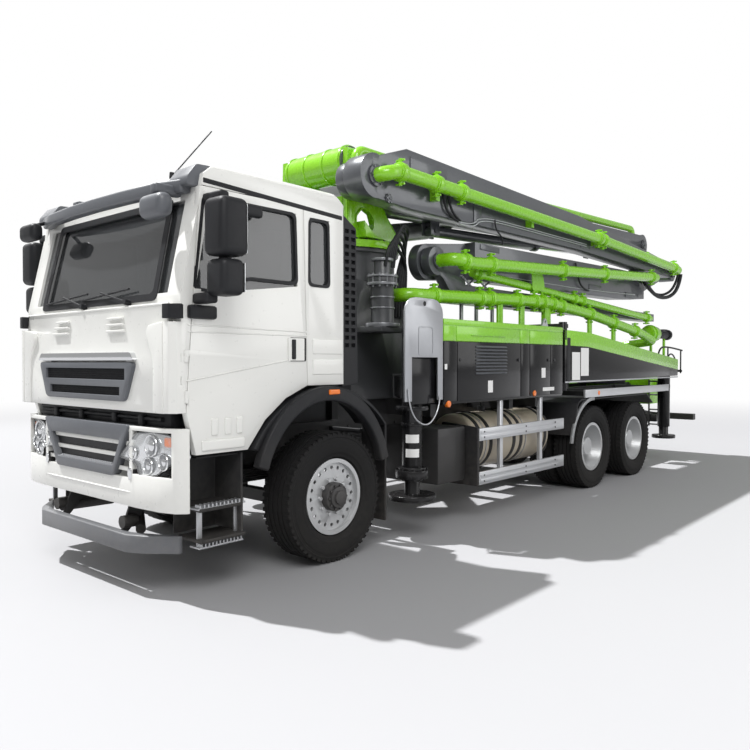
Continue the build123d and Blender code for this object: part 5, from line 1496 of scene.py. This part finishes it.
# The pin's ends run free in the bosses of the turret, so they are drawn a little thinner
luff = welded("luff_barrel", 0.003, 1)
LUFF_FOOT, LUFF_EYE_Y, PIN_PLAY = Vector((at(-1.38), 2.90)), 0.118, 0.97
for vertex in luff.data.vertices:
    if abs(vertex.co.y) > LUFF_EYE_Y:
        vertex.co.x = LUFF_FOOT[0] + (vertex.co.x - LUFF_FOOT[0]) * PIN_PLAY
        vertex.co.z = LUFF_FOOT[1] + (vertex.co.z - LUFF_FOOT[1]) * PIN_PLAY
fitted("luff_barrel_tube", luff, cylinder_grey, "luff_barrel", ("luff_barrel",))
dressed("luff_rod", "luff_rod_bar", 0.004, bright, "luff_rod")
ring_bolts = bolt_ring((-1.30, 0, 2.775), 0.545, (0, 0, 0.022), 32, 0.014)
fitted("ring_bolts", ring_bolts, hub_grey, "turret")
CHEEK = (
    (-0.865, 2.80), (-0.882, 3.62), (-1.09, 3.62), (-1.415, 3.08), (-1.62, 2.865), (-1.62, 2.80),
)
CHEEK_RIB = ((-1.02, 2.80), (-1.30, 2.80), (-1.16, 2.82), (-1.0, 2.95))
HOLE_STATION, HOLE_Z, HOLE_R = -1.11, 2.96, 0.145
hole = []
for turn in range(22, 382, 45):
    a, b = math.cos(math.radians(turn)), math.sin(math.radians(turn))
    hole.append((HOLE_STATION + HOLE_R * a, HOLE_Z + HOLE_R * b))
for side, hand in SIDES:
    flange = frame_ring(CHEEK, 0.03, 0.022, "xz", side * 0.458, side * 0.468)
    fitted(f"cheek_flange_{hand}", flange, lime, "turret")
    rib = eased(prism(CHEEK_RIB, "xz", side * 0.458, side * 0.56), 0.003)
    fitted(f"cheek_rib_{hand}", rib, lime, "turret")
    rim = frame_ring(hole, 0.02, 0.012, "xz", side * 0.458, side * 0.472)
    fitted(f"cheek_hole_rim_{hand}", rim, lime, "turret")
GEAR = (-1.06, 0.73)
# heights and radius of each flange on the gearbox
GEAR_FLANGES = (
    (1.93, 1.965, 0.165),
    (2.32, 2.345, 0.15),
    (2.395, 2.415, 0.15),
    (2.55, 2.575, 0.105),
    (2.10, 2.115, 0.118),
    (2.20, 2.215, 0.118),
)
flanges = [eased(rod((*GEAR, low), (*GEAR, high), r, 40), 0.004) for low, high, r in GEAR_FLANGES]
flanges += bolt_ring((*GEAR, 2.30), 0.132, (0, 0, 0.13), 12)
fitted("slew_gearbox_rings", flanges, cylinder_grey)
HOSES, HOSE_PITCH = 5, 0.045
hoses = []
for number in range(HOSES):
    shift = number * HOSE_PITCH
    path = [
        (-1.02 - shift, 0.80 - shift * 0.3, 2.50),
        (-1.00 - shift, 0.86 - shift * 0.2, 2.72 + shift),
        (-1.30 - shift, 0.72, 2.70 + shift * 1.3),
        (-1.62, 0.56, 2.62 + shift),
        (-1.70 + shift, 0.50, 2.40),
        (-1.66 + shift, 0.50, 2.05),
    ]
    hoses.append(line_tube(path, 0.017))
fitted("slew_hoses", hoses, plastic_black)
BRACE_Y, BRACE_FOOT, BRACE_TOP = 0.60, 2.40, 2.56
braces = []
for start, end in ((-2.56, -2.86), (-2.86, -2.56), (-3.20, -2.86), (-2.86, -3.20)):
    foot = (start, BRACE_Y, BRACE_FOOT)
    braces.append(rod(foot, (end, BRACE_Y, BRACE_TOP), 0.011, 8))
for station in (-2.56, -2.86, -3.20):
    braces.append(block((station - 0.02, station + 0.02), (0.585, 0.615), (1.98, 2.42), 0.003))
braces.append(block((-3.22, -2.54), (0.585, 0.615), (2.39, 2.42), 0.003))
braces.append(block((-3.22, -2.54), (0.585, 1.02), (1.975, 2.0), 0.003))
fitted("hand_braces", braces, steel_silver)


# Rear: a lime hopper with a rolled rim, black grate and agitator drive, the pump behind the
# water box, a transfer cylinder on posts, tail lamps, a ladder and a handrail.
dressed("hopper", "hopper_box", 0.006, lime)
dressed("pump_unit", "pump_body", 0.006, pedestal_grey)
coated(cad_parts["front_underrun"], frame_black)
RIM_STATIONS, RIM_Y = (-8.72, -7.79), 0.765
rim = []
for side in (1, -1):
    start = (RIM_STATIONS[0], side * RIM_Y, 1.60)
    rim.append(rod(start, (RIM_STATIONS[1], side * RIM_Y, 1.655), 0.020, 16))
rim.append(rod((RIM_STATIONS[0], -RIM_Y, 1.60), (RIM_STATIONS[0], RIM_Y, 1.60), 0.020, 16))
for y in (-0.5, 0.0, 0.5):
    rim.append(block((-8.73, -8.70), (y - 0.02, y + 0.02), (1.12, 1.58), 0.003))
fitted("hopper_rim", rim, lime)
GRATE_BARS, GRATE_PITCH = 7, 0.13
AGITATOR = (-8.20, 1.18)
grate = []
for number in range(GRATE_BARS):
    station = -8.62 + number * GRATE_PITCH
    grate.append(block((station - 0.005, station + 0.005), (-0.74, 0.74), (1.560, 1.585), 0.001))
for side in (1, -1):
    inner, outer = [(AGITATOR[0], side * y, AGITATOR[1]) for y in (0.74, 0.92)]
    grate.append(eased(rod(inner, outer, 0.085, 32), 0.008))
    flange_at = (AGITATOR[0], side * 0.75, AGITATOR[1])
    grate += bolt_ring(flange_at, 0.11, (0, side * 0.018, 0), 8)
fitted("hopper_grate", grate, pedestal_grey)
flap = block((-8.775, -8.755), (-0.70, 0.70), (1.30, 1.62))
fitted("splash_flap", flap, plastic_black)

for side in (1, -1):
    ties = []
    for y in (side * 0.15 + 0.10, side * 0.15 - 0.10):
        for z in (1.52, 1.32):
            ties.append(rod((-7.58, y, z), (-4.33, y, z), 0.012, 8))
    fitted(f"pump_ties_{side}", ties, steel_silver)
covers = []
for station, width, high in ((-7.685, 0.42, 1.62), (-5.55, 0.33, 1.58)):
    for side in (1, -1):
        across = (side * width, side * (width + 0.012))
        covers.append(block((station - 0.09, station + 0.09), across, (1.26, high)))
covers.append(block((-7.78, -7.59), (-0.40, 0.40), (1.638, 1.655), 0.005))
covers.append(block((-5.73, -5.37), (-0.31, 0.31), (1.598, 1.612), 0.005))
covers.append(block((-3.80, -3.18), (-0.35, 0.35), (1.998, 2.014), 0.006))
fitted("pump_covers", covers, lime)

TRANSFER = (0.74, 2.06)


def transfer_disc(front, rear, radius, sides):
    """A round of the transfer cylinder between two stations."""
    return rod((front, *TRANSFER), (rear, *TRANSFER), radius, sides)


transfer = [
    eased(transfer_disc(-7.72, -8.02, 0.125, 40), 0.012),
    eased(transfer_disc(-7.80, -7.84, 0.145, 40), 0.004),
]
for station in (-7.90, -8.50):
    transfer.append(block((station - 0.03, station + 0.03), (0.715, 0.745), (1.45, 2.0)))
fitted("transfer_drum", transfer, lime)
barrel = [
    eased(transfer_disc(-8.00, -8.60, 0.070, 32), 0.006),
    eased(transfer_disc(-8.56, -8.64, 0.090, 32), 0.008),
    transfer_disc(-8.62, -8.68, 0.045, 24),
    line_tube([(-8.05, 0.80, 2.12), (-8.30, 0.83, 2.15), (-8.60, 0.80, 2.12)], 0.012),
]
fitted("transfer_barrel", barrel, plastic_black)
HANDRAIL_Y = 0.98
HIGH_RAIL = ((-7.52, 1.60), (-7.54, 1.82), (-7.98, 1.85), (-8.66, 1.79))
LOW_RAIL = ((-7.97, 1.58), (-7.98, 1.72), (-8.25, 1.73), (-8.36, 1.60))
rails = [
    line_tube([(a, HANDRAIL_Y, b) for a, b in HIGH_RAIL], 0.014),
    line_tube([(a, HANDRAIL_Y, b) for a, b in LOW_RAIL], 0.012),
    rod((-7.98, HANDRAIL_Y, 1.50), (-7.98, HANDRAIL_Y, 1.84), 0.012, 12),
    rod((-8.60, HANDRAIL_Y, 1.40), (-8.60, HANDRAIL_Y, 1.80), 0.012, 12),
]
for station in (-7.97, -8.60):
    rails.append(block((station - 0.02, station + 0.02), (0.74, 1.0), (1.42, 1.46), 0.003))
fitted("hopper_rail", rails, plastic_black)
red = enamel(
    "red_lens", (0.45, 0.012, 0.010), (0.38, 0.010, 0.008), 0.15, bump=0.0, coat=0.6, dust=0.0
)
LAMP_STATIONS = (-7.815, -7.775)
for side, hand in SIDES:
    lamps = [
        block(LAMP_STATIONS, (side * 0.62, side * 0.80), (0.63, 0.73), 0.008),
        block(LAMP_STATIONS, (side * 0.20, side * 0.28), (0.65, 0.71), 0.006),
    ]
    fitted(f"tail_lamps_{hand}", lamps, red)
    blinker = block(LAMP_STATIONS, (side * 0.81, side * 0.89), (0.63, 0.73), 0.008)
    fitted(f"tail_blinker_{hand}", blinker, amber)
    ladder = []
    for y in (side * 0.78, side * 1.02):
        ladder.append(rod((-7.70, y, 0.55), (-7.70, y, 1.30), 0.014, 12))
    for z in (0.58, 0.82, 1.06, 1.28):
        ladder.append(rod((-7.70, side * 0.78, z), (-7.70, side * 1.02, z), 0.012, 12))
    fitted(f"rear_ladder_{hand}", ladder, frame_black)


# Hoses and steel oil lines clipped along the boom, the rubber loops that join the upper and
# lower concrete pipes at the far end, a fold cylinder and the shield of the tip pipe.

# name, body, finish, radius, points as station, y, z
BOOM_LINES = (
    (
        "boom_hose_1", "boom_3", plastic_black, 0.013,
        ((-1.84, 0.850, 3.40), (-1.86, 0.860, 3.24), (-1.96, 0.856, 3.10), (-2.14, 0.845, 3.07)),
    ),
    (
        "boom_hose_2", "boom_3", plastic_black, 0.013,
        ((-1.93, 0.850, 3.40), (-1.95, 0.862, 3.24), (-2.04, 0.858, 3.12), (-2.18, 0.845, 3.08)),
    ),
    (
        "oil_line_1", "boom_3", steel_silver, 0.007,
        (
            (-2.14, 0.842, 3.07), (-2.42, 0.842, 3.06), (-2.56, 0.842, 3.19), (-3.60, 0.842, 3.20),
            (-5.20, 0.842, 3.20),
        ),
    ),
    (
        "oil_line_2", "boom_3", steel_silver, 0.007,
        (
            (-2.18, 0.842, 3.05), (-2.44, 0.842, 3.035), (-2.58, 0.842, 3.165),
            (-3.60, 0.842, 3.175), (-5.20, 0.842, 3.175),
        ),
    ),
    (
        "branch_hose", "boom_3", plastic_black, 0.009,
        ((-2.86, 0.845, 3.19), (-2.84, 0.862, 3.08), (-3.02, 0.860, 3.00), (-3.02, 0.845, 2.93)),
    ),
    (
        "rear_hose_1", "boom_3", plastic_black, 0.030,
        (
            (-7.42, 0.80, 2.90), (-7.80, 0.78, 2.70), (-8.35, 0.82, 2.66), (-8.70, 0.90, 2.84),
            (-8.66, 0.95, 3.10),
        ),
    ),
    (
        "rear_hose_2", "boom_3", plastic_black, 0.022,
        (
            (-7.36, 0.76, 2.95), (-7.76, 0.74, 2.74), (-8.32, 0.78, 2.71), (-8.65, 0.86, 2.88),
            (-8.62, 0.92, 3.10),
        ),
    ),
    (
        "lower_hose", "boom_4", plastic_black, 0.012,
        ((-5.10, 0.735, 2.95), (-5.12, 0.760, 2.72), (-5.30, 0.760, 2.60), (-5.52, 0.735, 2.60)),
    ),
    (
        "arm_line", "boom_4", steel_silver, 0.007,
        ((-2.80, 0.730, 2.60), (-4.20, 0.730, 2.60), (-5.60, 0.730, 2.61), (-7.20, 0.730, 2.66)),
    ),
)
for name, body, finish, radius, points in BOOM_LINES:
    fitted(name, line_tube(points, radius), finish, body)
# Fold cylinder hung in lugs under the second section
FOLD_Y = 0.33
fold_barrel = [
    eased(rod((-2.35, FOLD_Y, 3.055), (-4.70, FOLD_Y, 3.170), 0.062, 40), 0.006),
    eased(rod((-4.62, FOLD_Y, 3.166), (-4.72, FOLD_Y, 3.171), 0.072, 40), 0.005),
]
for station, low, high in ((-2.35, 3.00, 3.17), (-6.40, 3.19, 3.37)):
    for across in ((0.262, 0.284), (0.376, 0.398)):
        fold_barrel.append(block((station - 0.08, station + 0.08), across, (low, high), 0.012))
    z = (low + high) / 2 - 0.03
    fold_barrel.append(rod((station, 0.250, z), (station, 0.410, z), 0.026, 24))
    fold_barrel.append(rod((station, 0.290, z), (station, 0.370, z), 0.060, 32))
fitted("fold_barrel", fold_barrel, boom_grey, "boom_2")
fold_rod = rod((-4.70, FOLD_Y, 3.170), (-6.36, FOLD_Y, 3.252), 0.034, 32)
fitted("fold_rod", fold_rod, bright, "boom_2")
SHIELD = rounded([(-3.70, 2.71), (-3.98, 2.68), (-4.03, 2.49), (-3.72, 2.46)], 0.05)
fitted("pipe_shield", prism(SHIELD, "xz", 0.838, 0.846), lime, "boom_5")
holder = block((-3.86, -3.80), (0.735, 0.842), (2.52, 2.56), 0.003)
fitted("shield_holder", holder, lime, "boom_5")
